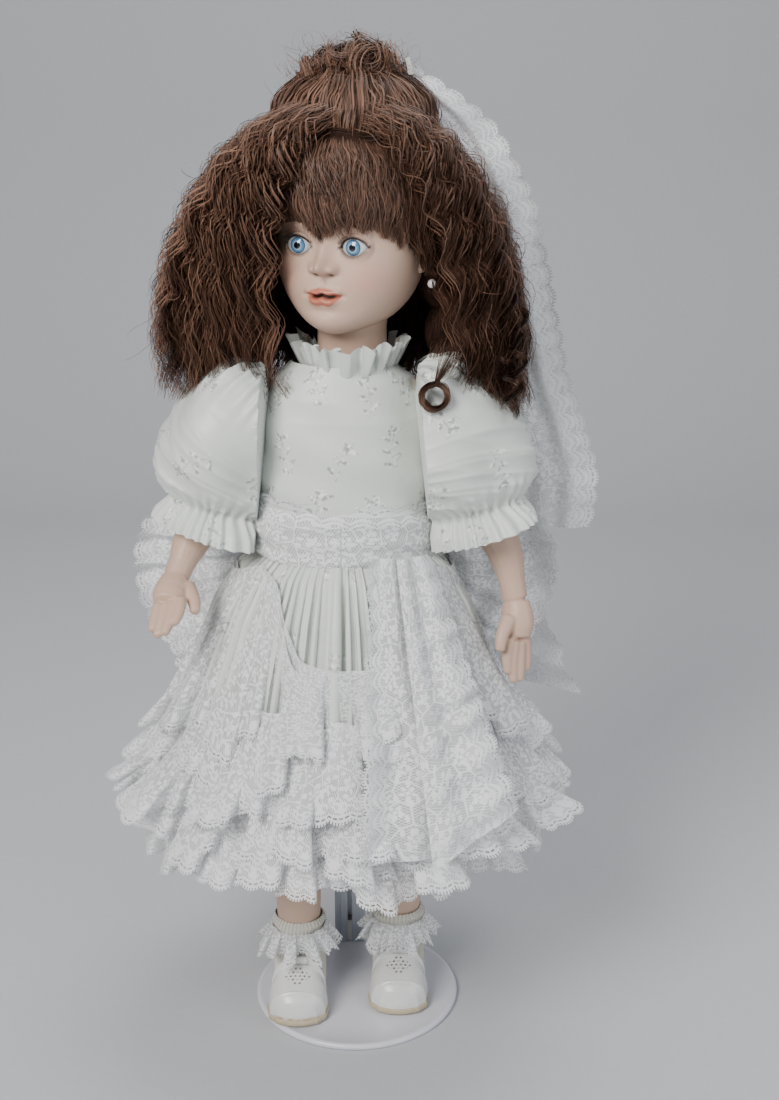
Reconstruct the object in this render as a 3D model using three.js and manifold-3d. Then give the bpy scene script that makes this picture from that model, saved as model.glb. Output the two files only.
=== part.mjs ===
// A porcelain collector's doll in a lace dress, on its display stand.
// Millimetres, +Z up. The origin is the middle of the stand base's underside. The doll looks along -Y.
// Left and right are the doll's own: its right side is at -X.

import * as THREE from "three";
import { mergeVertices } from "three/addons/utils/BufferGeometryUtils.js";
import Module from "manifold-3d";

const wasm = await Module();
wasm.setup();

// ---- Driving dimensions ----

const GAP = 0.3; // between pieces that touch

// Display stand
const BASE_RADIUS = 67.5;
const BASE_THICKNESS = 4;
const POST_WIDTH = 21;
const POST_DEPTH = 9;
const POST_WALL = 1.2;
const POST_SLIT = 3;
const POST_HEIGHT = 196;
const POST_Y = 57;
const SCREW_RADIUS = 1.8;
const SCREW_HEAD_RADIUS = 3.4;
const ROD_BOTTOM = 120;
const CLIP_Z = 285;
const CLIP_WIRE = 1.6;

// Legs
const FEET_X = -5;
const LEG_SPREAD = 33;
const HIP_Z = 250;
const KNEE_Z = 168;
const LEG_RADIUS = 16.5;
const THIGH_RADIUS = 20;
const HIP_CLEARANCE = 1.4;
const FOOT_LIFT = 1.4; // the clip holds the feet this far off the base, so that they swing clear of it
const FOOT_FORWARD = { right: -5, left: 8 };
const SHOE_LENGTH = 60;
const SHOE_WIDTH = 37;
const SHOE_HEIGHT = 34;
const SOLE_THICKNESS = 3.5;
const SHOE_WALL = 1.5;
const SOCK_WALL = 1.5;
const SOCK_TOP = 60;

// Trunk and dress
const BODY_X = -6;
const TORSO_BOTTOM = 252;
const WAIST_Z = 318;
const SHOULDER_Z = 418;
const BODICE_WALL = 1.5;
const WAIST_HALF_WIDTH = 52;
const WAIST_HALF_DEPTH = 41;
const ARMHOLE = 43; // from the trunk's middle plane to the shoulder joint's face
const SKIRT_HEM_Z = 150;
const SKIRT_HALF_WIDTH = 122;
const SKIRT_ROUNDNESS = 0.86; // depth over width
const CLOTH_WALL = 1.5;
const SASH_TOP = 350;
const SASH_WALL = 3;

// Head and hair
const HEAD_TURN = -21.5; // degrees, towards the doll's right
const HEAD_Z = 504;
const HEAD_HALF_WIDTH = 43.5;
const HEAD_HALF_DEPTH = 46;
const HEAD_HALF_HEIGHT = 52;
const HEAD_WALL = 3;
const NECK_RADIUS = 21;
const NECK_BOTTOM = 424;
const EYE_RADIUS = 9.5;
const EYE_SPACING = 33.5;
const EYE_Z = 503;
const CROWN_Z = 532;
const HAIR_THICKNESS = 14;
const HAIR_HALF_WIDTH = 106;
const HAIR_BOTTOM = 400;
const TOPKNOT_Z = 596;

// ---- Solids ----

// A closed geometry as a manifold solid whose faces point out.
function solid(geometry) {
  const bare = geometry.index ? geometry.toNonIndexed() : geometry.clone();
  bare.deleteAttribute("normal");
  bare.deleteAttribute("uv");
  const merged = mergeVertices(bare, 1e-4);
  const corners = merged.index.array;
  const kept = [];
  for (let i = 0; i < corners.length; i += 3) {
    const [a, b, c] = corners.slice(i, i + 3);
    if (a !== b && b !== c && c !== a) kept.push(a, b, c);
  }
  const build = (list) =>
    new wasm.Manifold(
      new wasm.Mesh({
        numProp: 3,
        vertProperties: merged.attributes.position.array,
        triVerts: new Uint32Array(list),
      }),
    );
  const made = build(kept);
  return made.volume() < 0 ? build(kept.reverse()) : made;
}

// A manifold solid as a three.js geometry.
function geometryOf(shape) {
  const mesh = shape.getMesh();
  const places = new Float32Array(mesh.numVert * 3);
  for (let i = 0; i < mesh.numVert; i += 1) {
    places.set(mesh.vertProperties.subarray(i * mesh.numProp, i * mesh.numProp + 3), i * 3);
  }
  const geometry = new THREE.BufferGeometry();
  geometry.setAttribute("position", new THREE.BufferAttribute(places, 3));
  geometry.setIndex(new THREE.BufferAttribute(mesh.triVerts, 1));
  geometry.computeVertexNormals();
  return geometry;
}

function joined(first, ...others) {
  return others.reduce((sum, other) => sum.add(other), first);
}

function cut(first, ...others) {
  return others.reduce((rest, other) => rest.subtract(other), first);
}

// The largest of a shape's separate pieces, so that slivers left by a cut are dropped.
function largest(shape) {
  return shape.decompose().sort((a, b) => b.volume() - a.volume())[0];
}

// ---- Basic forms ----

function box(x, y, z, at) {
  return solid(new THREE.BoxGeometry(x, y, z).translate(...at));
}

// The slab of space between two heights.
function between(low, high) {
  return box(600, 600, high - low, [0, 0, (low + high) / 2]);
}

function ball(semi, at, sides = 12) {
  const sphere = new THREE.SphereGeometry(1, sides, Math.round(sides * 0.7));
  return solid(sphere.rotateX(Math.PI / 2).scale(...semi).translate(...at));
}

// A form turned about Z from [radius, height] points, then squeezed to depth/width = round.
function turned(profile, { at = [0, 0, 0], round = 1, sides = 20 } = {}) {
  const points = profile.map(([radius, height]) => new THREE.Vector2(radius, height));
  const lathe = new THREE.LatheGeometry(points, sides).rotateX(Math.PI / 2);
  return solid(lathe.scale(1, round, 1).translate(...at));
}

// A solid of revolution with flat ends, from [radius, height] points given from one end to the other.
function turnedSolid(profile, options) {
  const low = profile[0][1];
  const high = profile[profile.length - 1][1];
  return turned([[0, low], ...profile, [0, high]], options);
}

// A shell open at both ends: the outer profile, and the same profile a wall further in.
function turnedShell(profile, wall, options) {
  const inner = profile.map(([radius, height]) => [radius - wall, height]).reverse();
  return turned([...profile, ...inner, profile[0]], options);
}

// A round form along a curve. The profile is [radius, share of the length] points.
function along(points, profile, { sides = 12, flat = 1 } = {}) {
  const curve = new THREE.CatmullRomCurve3(points.map((p) => new THREE.Vector3(...p)));
  const lathe = new THREE.LatheGeometry(
    profile.map(([radius, share]) => new THREE.Vector2(radius, share)),
    sides,
  );
  const place = lathe.attributes.position;
  for (let i = 0; i < place.count; i += 1) {
    const share = place.getY(i);
    const tangent = curve.getTangentAt(THREE.MathUtils.clamp(share, 0, 1));
    const side = new THREE.Vector3(0, -1, 0).cross(tangent).normalize();
    const front = tangent.clone().cross(side);
    const spot = curve.getPointAt(THREE.MathUtils.clamp(share, 0, 1));
    spot.addScaledVector(side, place.getX(i) * flat);
    spot.addScaledVector(front, place.getZ(i));
    place.setXYZ(i, spot.x, spot.y, spot.z);
  }
  return solid(lathe);
}

// A round solid along a curve with closed ends, and the same form grown by an extra radius.
function limb(points, profile, extra = 0, options = {}) {
  const grown = profile.map(([radius, share]) => [radius + extra, share]);
  return along(points, [[0, profile[0][1]], ...grown, [0, profile[profile.length - 1][1]]], options);
}

// A wire of round section along a curve.
function wire(points, radius) {
  const section = new THREE.Shape().absarc(0, 0, radius, 0, 2 * Math.PI);
  const curve = new THREE.CatmullRomCurve3(points.map((p) => new THREE.Vector3(...p)));
  const options = { steps: 12, curveSegments: 3, extrudePath: curve };
  return solid(new THREE.ExtrudeGeometry(section, options));
}

// ---- Scene graph ----

const doll = new THREE.Group();

function group(parent, position, turn = 0) {
  const made = new THREE.Group();
  made.position.set(...position);
  made.rotation.z = THREE.MathUtils.degToRad(turn);
  parent.add(made);
  return made;
}

const standGroup = group(doll, [0, 0, 0]);
const trunkGroup = group(doll, [BODY_X, 0, 0]);
const headGroup = group(doll, [0, 0, 0], HEAD_TURN);
const armGroups = { right: group(trunkGroup, [0, 0, 0]), left: group(trunkGroup, [0, 0, 0]) };
const legGroups = {
  right: group(doll, [FEET_X - LEG_SPREAD, 0, 0]),
  left: group(doll, [FEET_X + LEG_SPREAD, 0, 0]),
};
const SIDES = { right: -1, left: 1 };

function add(parent, name, shape, finish) {
  const mesh = new THREE.Mesh(geometryOf(shape), new THREE.MeshStandardMaterial(finish));
  mesh.name = name;
  parent.add(mesh);
}

// A solid made in one group's frame, as it stands in another's.
function carried(geometry, from, to) {
  doll.updateMatrixWorld(true);
  const into = to.matrixWorld.clone().invert().multiply(from.matrixWorld);
  return solid(geometry.clone().applyMatrix4(into));
}

const PAINTED_METAL = { color: 0xe9e8ef, roughness: 0.3, metalness: 0.1 };
const BRIGHT_STEEL = { color: 0x9aa3ad, roughness: 0.25, metalness: 1 };
const VINYL = { color: 0xe4e4e0, roughness: 0.45, metalness: 0 };
const CALICO = { color: 0xe6dccb, roughness: 0.9, metalness: 0 };
const BISQUE = { color: 0xd9b59c, roughness: 0.5, metalness: 0 };
const SATIN = { color: 0xdde0d6, roughness: 0.4, metalness: 0 };
const LACE = { color: 0xe8eaec, roughness: 0.8, metalness: 0 };
const ORGANZA = { color: 0xeceeee, roughness: 0.5, metalness: 0 };
const KNIT = { color: 0xe6e0c6, roughness: 0.9, metalness: 0 };
const LEATHERETTE = { color: 0xe6e5e2, roughness: 0.35, metalness: 0 };
const SOLE = { color: 0xcdbf9c, roughness: 0.6, metalness: 0 };
const GLASS_EYE = { color: 0x6fa3c4, roughness: 0.05, metalness: 0 };
const HAIR = { color: 0x6b4433, roughness: 0.5, metalness: 0 };
const NET = { color: 0x4a3027, roughness: 0.9, metalness: 0 };
const PEARL = { color: 0xf1ece4, roughness: 0.2, metalness: 0 };

// ---- Display stand ----

function makeStand() {
  const bevel = 1;
  const base = turnedSolid(
    [
      [BASE_RADIUS - bevel, 0],
      [BASE_RADIUS, bevel],
      [BASE_RADIUS, BASE_THICKNESS - bevel],
      [BASE_RADIUS - bevel, BASE_THICKNESS],
    ],
    { sides: 48 },
  );
  const screwAt = [BODY_X, POST_Y, 0];
  const headTop = 2.2;
  const screwLength = 14;
  const screwProfile = (extra) => [
    [SCREW_HEAD_RADIUS + extra, 0.4 - extra],
    [SCREW_RADIUS + extra, headTop + extra],
    [SCREW_RADIUS + extra, screwLength + extra],
  ];
  const screw = turnedSolid(screwProfile(0), { at: screwAt, sides: 12 });
  const holeProfile = [[SCREW_HEAD_RADIUS + GAP, -1], ...screwProfile(GAP)];
  const screwHole = turnedSolid(holeProfile, { at: screwAt, sides: 12 });
  add(standGroup, "stand_base", cut(base, screwHole), PAINTED_METAL);
  add(standGroup, "post_screw", screw, BRIGHT_STEEL);

  const foot = BASE_THICKNESS + GAP;
  const innerWidth = POST_WIDTH - 2 * POST_WALL;
  const innerDepth = POST_DEPTH - 2 * POST_WALL;
  const middle = foot + POST_HEIGHT / 2;
  const post = cut(
    box(POST_WIDTH, POST_DEPTH, POST_HEIGHT, [BODY_X, POST_Y, middle]),
    box(innerWidth, innerDepth, POST_HEIGHT + 2, [BODY_X, POST_Y, middle]),
    box(POST_SLIT, POST_DEPTH, POST_HEIGHT + 2, [BODY_X, POST_Y - POST_WALL - innerDepth / 2, middle]),
  );
  add(standGroup, "stand_post", post, BRIGHT_STEEL);

  const plugHeight = 16;
  const plugSize = [innerWidth - 2 * GAP, innerDepth - 2 * GAP, plugHeight];
  const plug = cut(box(...plugSize, [BODY_X, POST_Y, foot + plugHeight / 2]), screwHole);
  add(standGroup, "post_plug", plug, VINYL);

  const rodTop = CLIP_Z - 5 - GAP;
  const rodSize = [innerWidth - 2 * GAP, innerDepth - 2 * GAP, rodTop - ROD_BOTTOM];
  const rod = box(...rodSize, [0, POST_Y, (rodTop + ROD_BOTTOM) / 2]);
  add(trunkGroup, "stand_rod", rod, BRIGHT_STEEL);
}

// ---- Waist clip: a hub on the rod and two sprung arms round the waist ----

const TORSO_IN = 6; // how far the torso's waist stands inside the bodice's
const TORSO_PROFILE = [
  [30, TORSO_BOTTOM],
  [46, TORSO_BOTTOM + 14],
  [48, CLIP_Z],
  [WAIST_HALF_WIDTH - TORSO_IN, WAIST_Z],
  [44, 350],
  [42, 376],
  [40, 392],
];
const TORSO_ROUNDNESS = (WAIST_HALF_DEPTH - TORSO_IN) / (WAIST_HALF_WIDTH - TORSO_IN);

const NECK_SOCKET = NECK_RADIUS + 1.6 + GAP;
const PLATE_WALL = 2.5;
const PLATE_ROUNDNESS = 0.85;
const PLATE_PROFILE = [
  [38, 392 + GAP],
  [37, 406],
  [31.5, 414],
  [26, 421],
];

// The round cup at the plate's top that the neck sits in.
function neckRing(extra) {
  const radius = NECK_SOCKET + PLATE_WALL + extra;
  return turnedSolid([[radius, 417], [radius, 429]], { at: [-BODY_X, 0, 0] });
}

function plateForm(extra) {
  const profile = PLATE_PROFILE.map(([radius, height]) => [radius + extra, height]);
  const plate = turnedSolid([[profile[0][0], profile[0][1] - 2], ...profile], { round: PLATE_ROUNDNESS });
  return joined(plate, neckRing(extra));
}

function makeClip() {
  const hubDepth = 14;
  const hubFront = POST_Y - 3 - hubDepth;
  const pinX = 13;
  const pinY = hubFront + 4;
  const hub = box(16, hubDepth + 6, 10, [0, hubFront + (hubDepth + 6) / 2, CLIP_Z]);
  add(trunkGroup, "clip_hub", hub, BRIGHT_STEEL);

  const reach = 48 + GAP + CLIP_WIRE + 1.5;
  const depth = reach * TORSO_ROUNDNESS + 1;
  for (const [side, sign] of Object.entries(SIDES)) {
    const round = (degrees) => {
      const angle = THREE.MathUtils.degToRad(degrees);
      return [sign * reach * Math.cos(angle), depth * Math.sin(angle), CLIP_Z];
    };
    const bend = [50, 30, 10, -10, -28].map(round);
    const start = [sign * pinX, pinY, CLIP_Z];
    const eye = ball([3, 3, 3.5], start, 12);
    add(trunkGroup, `clip_arm_${side}`, joined(wire([start, ...bend], CLIP_WIRE), eye), BRIGHT_STEEL);
    const tip = limb([round(-30.5), round(-38), round(-45)], [[2, 0], [2.6, 0.2], [2.6, 0.8], [1.4, 1]]);
    add(trunkGroup, `clip_tip_${side}`, tip, VINYL);
  }
}

// ---- Trunk ----

function makeTrunk() {
  const hips = Object.values(SIDES).map((sign) =>
    ball(
      [THIGH_RADIUS + HIP_CLEARANCE, THIGH_RADIUS + HIP_CLEARANCE, THIGH_RADIUS + HIP_CLEARANCE],
      [sign * LEG_SPREAD + FEET_X - BODY_X, 0, HIP_Z],
    ),
  );
  const torso = turnedSolid(TORSO_PROFILE, { round: TORSO_ROUNDNESS });
  add(trunkGroup, "torso", cut(torso, ...hips), CALICO);

  const plate = joined(turnedShell(PLATE_PROFILE, PLATE_WALL, { round: PLATE_ROUNDNESS }), neckRing(0));
  const neckHole = turnedSolid([[NECK_SOCKET, 400], [NECK_SOCKET, 440]], { at: [-BODY_X, 0, 0] });
  add(trunkGroup, "shoulder_plate", cut(plate, neckHole), BISQUE);
}

// ---- Dress ----

const BODICE_PROFILE = [
  [WAIST_HALF_WIDTH, WAIST_Z + GAP],
  [WAIST_HALF_WIDTH - 2, 350],
  [ARMHOLE + 4, 378],
  [ARMHOLE + 1, 400],
  [ARMHOLE - 1, 412],
  [38, 422],
  [31, 429],
];
const BODICE_ROUNDNESS = WAIST_HALF_DEPTH / WAIST_HALF_WIDTH;
const SASH_ROUNDNESS = (WAIST_HALF_DEPTH + SASH_WALL) / (WAIST_HALF_WIDTH + SASH_WALL);

function bodiceForm(extra) {
  const profile = BODICE_PROFILE.map(([radius, height]) => [radius + extra, height]);
  return turnedSolid(profile, { round: BODICE_ROUNDNESS });
}

// The skirt's outer radius at a height: it leaves the waist quickly and then falls.
function skirtRadius(height) {
  const drop = Math.max(0, (WAIST_Z - height) / (WAIST_Z - SKIRT_HEM_Z));
  return WAIST_HALF_WIDTH + (SKIRT_HALF_WIDTH - WAIST_HALF_WIDTH) * Math.pow(drop, 0.62);
}

function skirtProfile(low, high, extra) {
  const steps = 5;
  return Array.from({ length: steps + 1 }, (_, i) => {
    const height = low + (high - low) * Math.sin((i * Math.PI) / (2 * steps));
    return [skirtRadius(height) + extra, height];
  });
}

const COLLAR_WALL = 3;
const COLLAR_RADIUS = NECK_RADIUS + 13.5;
const COLLAR_AT = [-BODY_X - 2, 0, 0];

function makeBodice() {
  const neckHole = NECK_SOCKET + PLATE_WALL + 0.6;
  const neck = turnedSolid([[neckHole, 400], [neckHole, 440]], { at: [-BODY_X, 0, 0] });
  const shell = turnedShell(BODICE_PROFILE, BODICE_WALL, { round: BODICE_ROUNDNESS });
  const trimmed = cut(shell, neck, plateForm(GAP));
  const betweenJoints = box(2 * ARMHOLE, 200, 400, [0, 0, 300]);
  const kept = joined(trimmed.intersect(betweenJoints), trimmed.intersect(between(0, 379)));
  add(trunkGroup, "bodice", largest(kept), SATIN);

  const collarLow = 429 + GAP;
  const collar = turnedShell(
    [
      [COLLAR_RADIUS - 7, collarLow],
      [COLLAR_RADIUS - 3, collarLow + 4],
      [COLLAR_RADIUS - 1, collarLow + 9],
      [COLLAR_RADIUS, collarLow + 12],
    ],
    COLLAR_WALL,
    { at: COLLAR_AT, sides: 32 },
  );
  add(trunkGroup, "collar_ruffle", collar, SATIN);
}

// The sash's outer face, grown by an extra thickness, from its foot up to a height.
function sashForm(extra, top, drop = 0) {
  const radius = WAIST_HALF_WIDTH + SASH_WALL + extra;
  return [
    [radius, WAIST_Z + GAP - drop],
    [radius, 334],
    [radius - (drop ? 0 : 2), top],
  ];
}

function makeSash() {
  const sash = turnedShell(sashForm(0, SASH_TOP), SASH_WALL - GAP, { round: SASH_ROUNDNESS });
  add(trunkGroup, "sash", cut(sash, bodiceForm(GAP)), LACE);

  const knotY = WAIST_HALF_DEPTH + 20;
  const knot = ball([20, 15, 12], [0, knotY, 330]);
  const loopAt = WAIST_HALF_WIDTH + 10;
  const loops = Object.values(SIDES).map((sign) => ball([60, 9, 32], [sign * loopAt, knotY + 9, 308]));
  const skirtSpace = turnedSolid(skirtProfile(220, WAIST_Z + GAP, 1), { round: SKIRT_ROUNDNESS });
  const sashSpace = turnedSolid(sashForm(GAP, SASH_TOP + 2, 1), { round: SASH_ROUNDNESS });
  const bow = cut(joined(knot, ...loops), skirtSpace, sashSpace);
  add(trunkGroup, "sash_bow", largest(bow), LACE);
}

// Gathered lace flounces: each hangs from the skirt at its top and flares to its hem.
const TIERS = [
  { top: 262, hem: 214, flare: 17, front: true },
  { top: 232, hem: 192, flare: 20 },
  { top: 208, hem: 170, flare: 28 },
  { top: 186, hem: 148, flare: 26 },
  { top: 162, hem: 128, flare: 19 },
];

function tierFlare(tier, height) {
  return tier.flare * Math.pow((tier.top - height) / (tier.top - tier.hem), 0.8);
}

function tierProfile(tier, extra) {
  return [tier.hem, (tier.hem + tier.top) / 2, tier.top].map((height) => {
    const skirtHere = skirtRadius(Math.max(height, SKIRT_HEM_Z));
    return [skirtHere + GAP + CLOTH_WALL + tierFlare(tier, height) + extra, height];
  });
}

function makeSkirt() {
  const skirt = turnedShell(skirtProfile(SKIRT_HEM_Z, WAIST_Z, 0), CLOTH_WALL, { round: SKIRT_ROUNDNESS });
  add(trunkGroup, "skirt", skirt, SATIN);

  const inset = CLOTH_WALL + 1.5;
  const liningProfile = skirtProfile(SKIRT_HEM_Z + 6, 270, -inset);
  const lining = turnedShell(liningProfile, CLOTH_WALL, { round: SKIRT_ROUNDNESS });
  add(trunkGroup, "petticoat", lining, ORGANZA);

  const skirtSpace = turnedSolid(skirtProfile(SKIRT_HEM_Z, WAIST_Z, GAP), { round: SKIRT_ROUNDNESS });
  TIERS.forEach((tier, index) => {
    const shell = turnedShell(tierProfile(tier, 0), CLOTH_WALL, { round: SKIRT_ROUNDNESS, sides: 24 });
    const front = box(200, 200, 200, [0, -100 - 52, tier.top - 60]);
    const shown = tier.front ? shell.intersect(front) : shell;
    add(trunkGroup, `lace_tier_${index + 1}`, largest(cut(shown, skirtSpace)), LACE);
  });
}

// The streamer falls from the sash over the flounces, on the doll's left front.
function makeStreamer() {
  const wall = 2;
  const bottom = TIERS[2].hem + 6;
  const over = (height) => {
    const tiers = TIERS.slice(0, 3).filter((tier) => height >= tier.hem && height <= tier.top);
    const flares = tiers.map((tier) => tierFlare(tier, height));
    return skirtRadius(height) + Math.max(0, ...flares) + CLOTH_WALL + wall + 1;
  };
  const heights = [bottom, TIERS[1].hem, TIERS[0].hem, 238, TIERS[0].top, 285, 302, WAIST_Z - 5];
  const shell = turnedShell(
    heights.map((height) => [over(height), height]),
    wall,
    { round: SKIRT_ROUNDNESS, sides: 24 },
  );
  const strip = box(40, 200, 300, [48, -100 - 15, 250]);
  const tiers = TIERS.slice(0, 3).map((tier) =>
    turnedSolid(tierProfile(tier, GAP), { round: SKIRT_ROUNDNESS, sides: 24 }),
  );
  const skirtSpace = turnedSolid(skirtProfile(SKIRT_HEM_Z, WAIST_Z, GAP), { round: SKIRT_ROUNDNESS });
  add(trunkGroup, "sash_streamer", largest(cut(shell.intersect(strip), skirtSpace, ...tiers)), LACE);
}

// ---- Arms ----

// A place beside the dress at a height, this far out from the skirt or waist.
function beside(sign, apart, y, height) {
  return [sign * (skirtRadius(height) + apart), y, height];
}

const ARM_PATHS = {
  right: {
    elbow: beside(-1, 32, -6, 338),
    wrist: beside(-1, 27, -30, 304),
    palm: beside(-1, 29.7, -50, 297),
    tip: beside(-1, 31, -70, 290),
  },
  left: {
    elbow: beside(1, 36, -6, 338),
    wrist: beside(1, 25.1, -18, 282),
    palm: beside(1, 17.6, -24, 262),
    tip: beside(1, 8.5, -30, 240),
  },
};
const SLEEVE_MIDDLE = WAIST_HALF_WIDTH + 18;

// How far a sleeve's inner side leans out per millimetre from its joint, to pass the sash and skirt.
const ARMHOLE_SLOPE = Math.max(
  (WAIST_HALF_WIDTH + SASH_WALL + 4.8 - ARMHOLE) / (SHOULDER_Z - 334),
  (skirtRadius(310) + 2 - ARMHOLE) / (SHOULDER_Z - 310),
);

function makeArm(side) {
  const sign = SIDES[side];
  const parent = armGroups[side];
  const { elbow, wrist, palm, tip } = ARM_PATHS[side];
  const shoulder = [sign * (ARMHOLE - 10), 0, SHOULDER_Z];
  const jointFace = (gap) => {
    const length = 120;
    const cone = new THREE.ConeGeometry(length / ARMHOLE_SLOPE, length, 32);
    cone.rotateZ((sign * Math.PI) / 2);
    return solid(cone.translate(sign * (ARMHOLE + gap + length / 2), 0, SHOULDER_Z));
  };

  const forearmRadii = [[10.5, 0], [12, 0.25], [11, 0.6], [9, 1]];
  const forearmPath = [elbow, elbow.map((v, i) => (v + wrist[i]) / 2), wrist];
  const handRadii = [[8.5, 0], [10.5, 0.25], [9.5, 0.6], [5, 0.92], [2, 1]];
  const hand = limb([wrist, palm, tip], handRadii, 0, { flat: 0.62 });
  const wristBall = ball([8.8, 8.8, 8.8], wrist, 14);
  const thumbTip = [palm[0] - sign * 10, palm[1] - 8, palm[2] - 4];
  const thumbKnuckle = [wrist[0] - sign * 7, palm[1] + 4, palm[2] + 4];
  const thumb = limb([wrist, thumbKnuckle, thumbTip], [[4, 0], [4, 0.8], [2, 1]]);
  const forearm = joined(limb(forearmPath, forearmRadii), wristBall, hand, thumb);
  add(parent, `forearm_${side}`, forearm, BISQUE);

  const clear = joined(limb(forearmPath, forearmRadii, GAP), ball([11, 11, 11], elbow, 14));
  const upperPath = [shoulder, [sign * (WAIST_HALF_WIDTH + 12), -1, 385], elbow];
  const upper = cut(limb(upperPath, [[13, 0], [15, 0.5], [12, 1]]), clear);
  add(parent, `upper_arm_${side}`, largest(upper.intersect(jointFace(0))), CALICO);

  const cuff = [elbow[0], elbow[1] - 5, elbow[2] - 19];
  const puff = [
    [24, 0],
    [38, 0.14],
    [43, 0.42],
    [39, 0.66],
    [27, 0.82],
    [25, 0.86],
    [31, 1],
  ];
  const wall = 1.5;
  const inside = puff.map(([radius, share]) => [radius - wall, share]).reverse();
  const sleevePath = [[sign * (ARMHOLE - 3), 0, 424], [sign * SLEEVE_MIDDLE, 0, 385], cuff];
  const shell = along(sleevePath, [...puff, ...inside, puff[0]], { sides: 18 });
  add(parent, `sleeve_${side}`, largest(shell.intersect(jointFace(GAP))), SATIN);
}

// ---- Legs ----

function makeLeg(side) {
  const parent = legGroups[side];
  const forward = FOOT_FORWARD[side];
  const soleBottom = BASE_THICKNESS + FOOT_LIFT;
  const soleTop = soleBottom + SOLE_THICKNESS;
  const ankle = [0, forward, soleTop + 11];
  const knee = [0, forward * ((HIP_Z - KNEE_Z) / (HIP_Z - soleTop)), KNEE_Z];

  const thighBall = ball([THIGH_RADIUS, THIGH_RADIUS, THIGH_RADIUS], [0, 0, HIP_Z]);
  const thighPath = [[0, 0, HIP_Z], [0, knee[1] / 2, (HIP_Z + KNEE_Z) / 2], knee];
  const thighRadii = [[THIGH_RADIUS, 0], [THIGH_RADIUS - 1, 0.6], [LEG_RADIUS, 1]];
  const thigh = joined(thighBall, limb(thighPath, thighRadii, 0, { sides: 14 }));
  add(parent, `thigh_${side}`, cut(thigh, between(KNEE_Z - 30, KNEE_Z + GAP)), CALICO);

  const shinPath = [knee, [0, (knee[1] + forward) / 2, (KNEE_Z + ankle[2]) / 2], ankle];
  const shinRadii = [[LEG_RADIUS, 0], [LEG_RADIUS + 0.5, 0.4], [LEG_RADIUS - 1.5, 0.8], [12.5, 0.93], [8, 1]];
  const footMiddle = forward - SHOE_LENGTH / 2 + 17;
  const footForm = (extra) =>
    joined(
      limb(shinPath, shinRadii, extra, { sides: 15 }),
      ball(
        [SHOE_WIDTH / 2 - 5 + extra, SHOE_LENGTH / 2 - 5 + extra, 8 + extra],
        [0, footMiddle, soleTop + 12.5],
      ),
    ).intersect(between(soleTop + 4.5 - extra, KNEE_Z + 20));
  const leg = footForm(0).intersect(between(0, KNEE_Z - 0.01));
  add(parent, `lower_leg_${side}`, leg, BISQUE);

  const sock = cut(footForm(GAP + SOCK_WALL).intersect(between(0, SOCK_TOP)), footForm(GAP));
  add(parent, `sock_${side}`, sock, KNIT);

  const outline = new THREE.Shape().absellipse(0, 0, SHOE_WIDTH / 2, SHOE_LENGTH / 2, 0, 2 * Math.PI);
  const plate = new THREE.ExtrudeGeometry(outline, {
    depth: SOLE_THICKNESS,
    bevelEnabled: false,
    curveSegments: 10,
  });
  add(parent, `shoe_sole_${side}`, solid(plate.translate(0, footMiddle, soleBottom)), SOLE);

  const upperLow = soleTop + GAP;
  const shoeForm = (wall) =>
    joined(
      ball(
        [SHOE_WIDTH / 2 - wall, SHOE_LENGTH / 2 - wall, SHOE_HEIGHT - 6 - wall],
        [0, footMiddle, upperLow],
      ),
      turnedSolid(
        [
          [SHOE_WIDTH / 2 + 1 - wall, upperLow - 1 - wall],
          [SHOE_WIDTH / 2 + 1.5 - wall, upperLow + 18],
          [SHOE_WIDTH / 2 + 0.5 - wall, upperLow + SHOE_HEIGHT - 6 - wall * 0.1],
        ],
        { at: [0, forward + 2, 0], sides: 16 },
      ),
    );
  const sockSpace = footForm(2 * GAP + SOCK_WALL);
  const shoe = cut(shoeForm(0), shoeForm(SHOE_WALL), sockSpace).intersect(between(upperLow, 100));
  const collarTop = upperLow + SHOE_HEIGHT - 6;
  const shaft = turnedSolid([[SHOE_WIDTH / 2 - 1, upperLow + 20], [SHOE_WIDTH / 2 - 1, collarTop + 4]], {
    at: [0, forward + 2, 0],
    sides: 16,
  });
  add(parent, `shoe_upper_${side}`, largest(cut(shoe, shaft)), LEATHERETTE);

  const frill = turnedShell(
    [
      [SHOE_WIDTH / 2 + 7, SOCK_TOP - 17],
      [SHOE_WIDTH / 2 + 5, SOCK_TOP - 10],
      [SHOE_WIDTH / 2 + 1.5, SOCK_TOP - 3],
    ],
    1.5,
    { at: [0, forward * 0.87, 0], sides: 18 },
  );
  add(parent, `sock_lace_${side}`, frill, LACE);

  const tieY = forward - SHOE_WIDTH / 2 - 5.5;
  const tieZ = SOCK_TOP - 22;
  const knot = ball([3, 2.4, 2.6], [0, tieY, tieZ], 8);
  const loops = [-1, 1].map((way) => ball([6, 1.8, 2.6], [way * 6, tieY + 0.5, tieZ + 0.5], 8));
  const tie = cut(joined(knot, ...loops), shoeForm(-GAP));
  add(parent, `shoe_tie_${side}`, largest(tie), LEATHERETTE);
}

// ---- Head ----

const FACE_Y = 3; // the skull's middle stands this far behind the neck's axis

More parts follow.
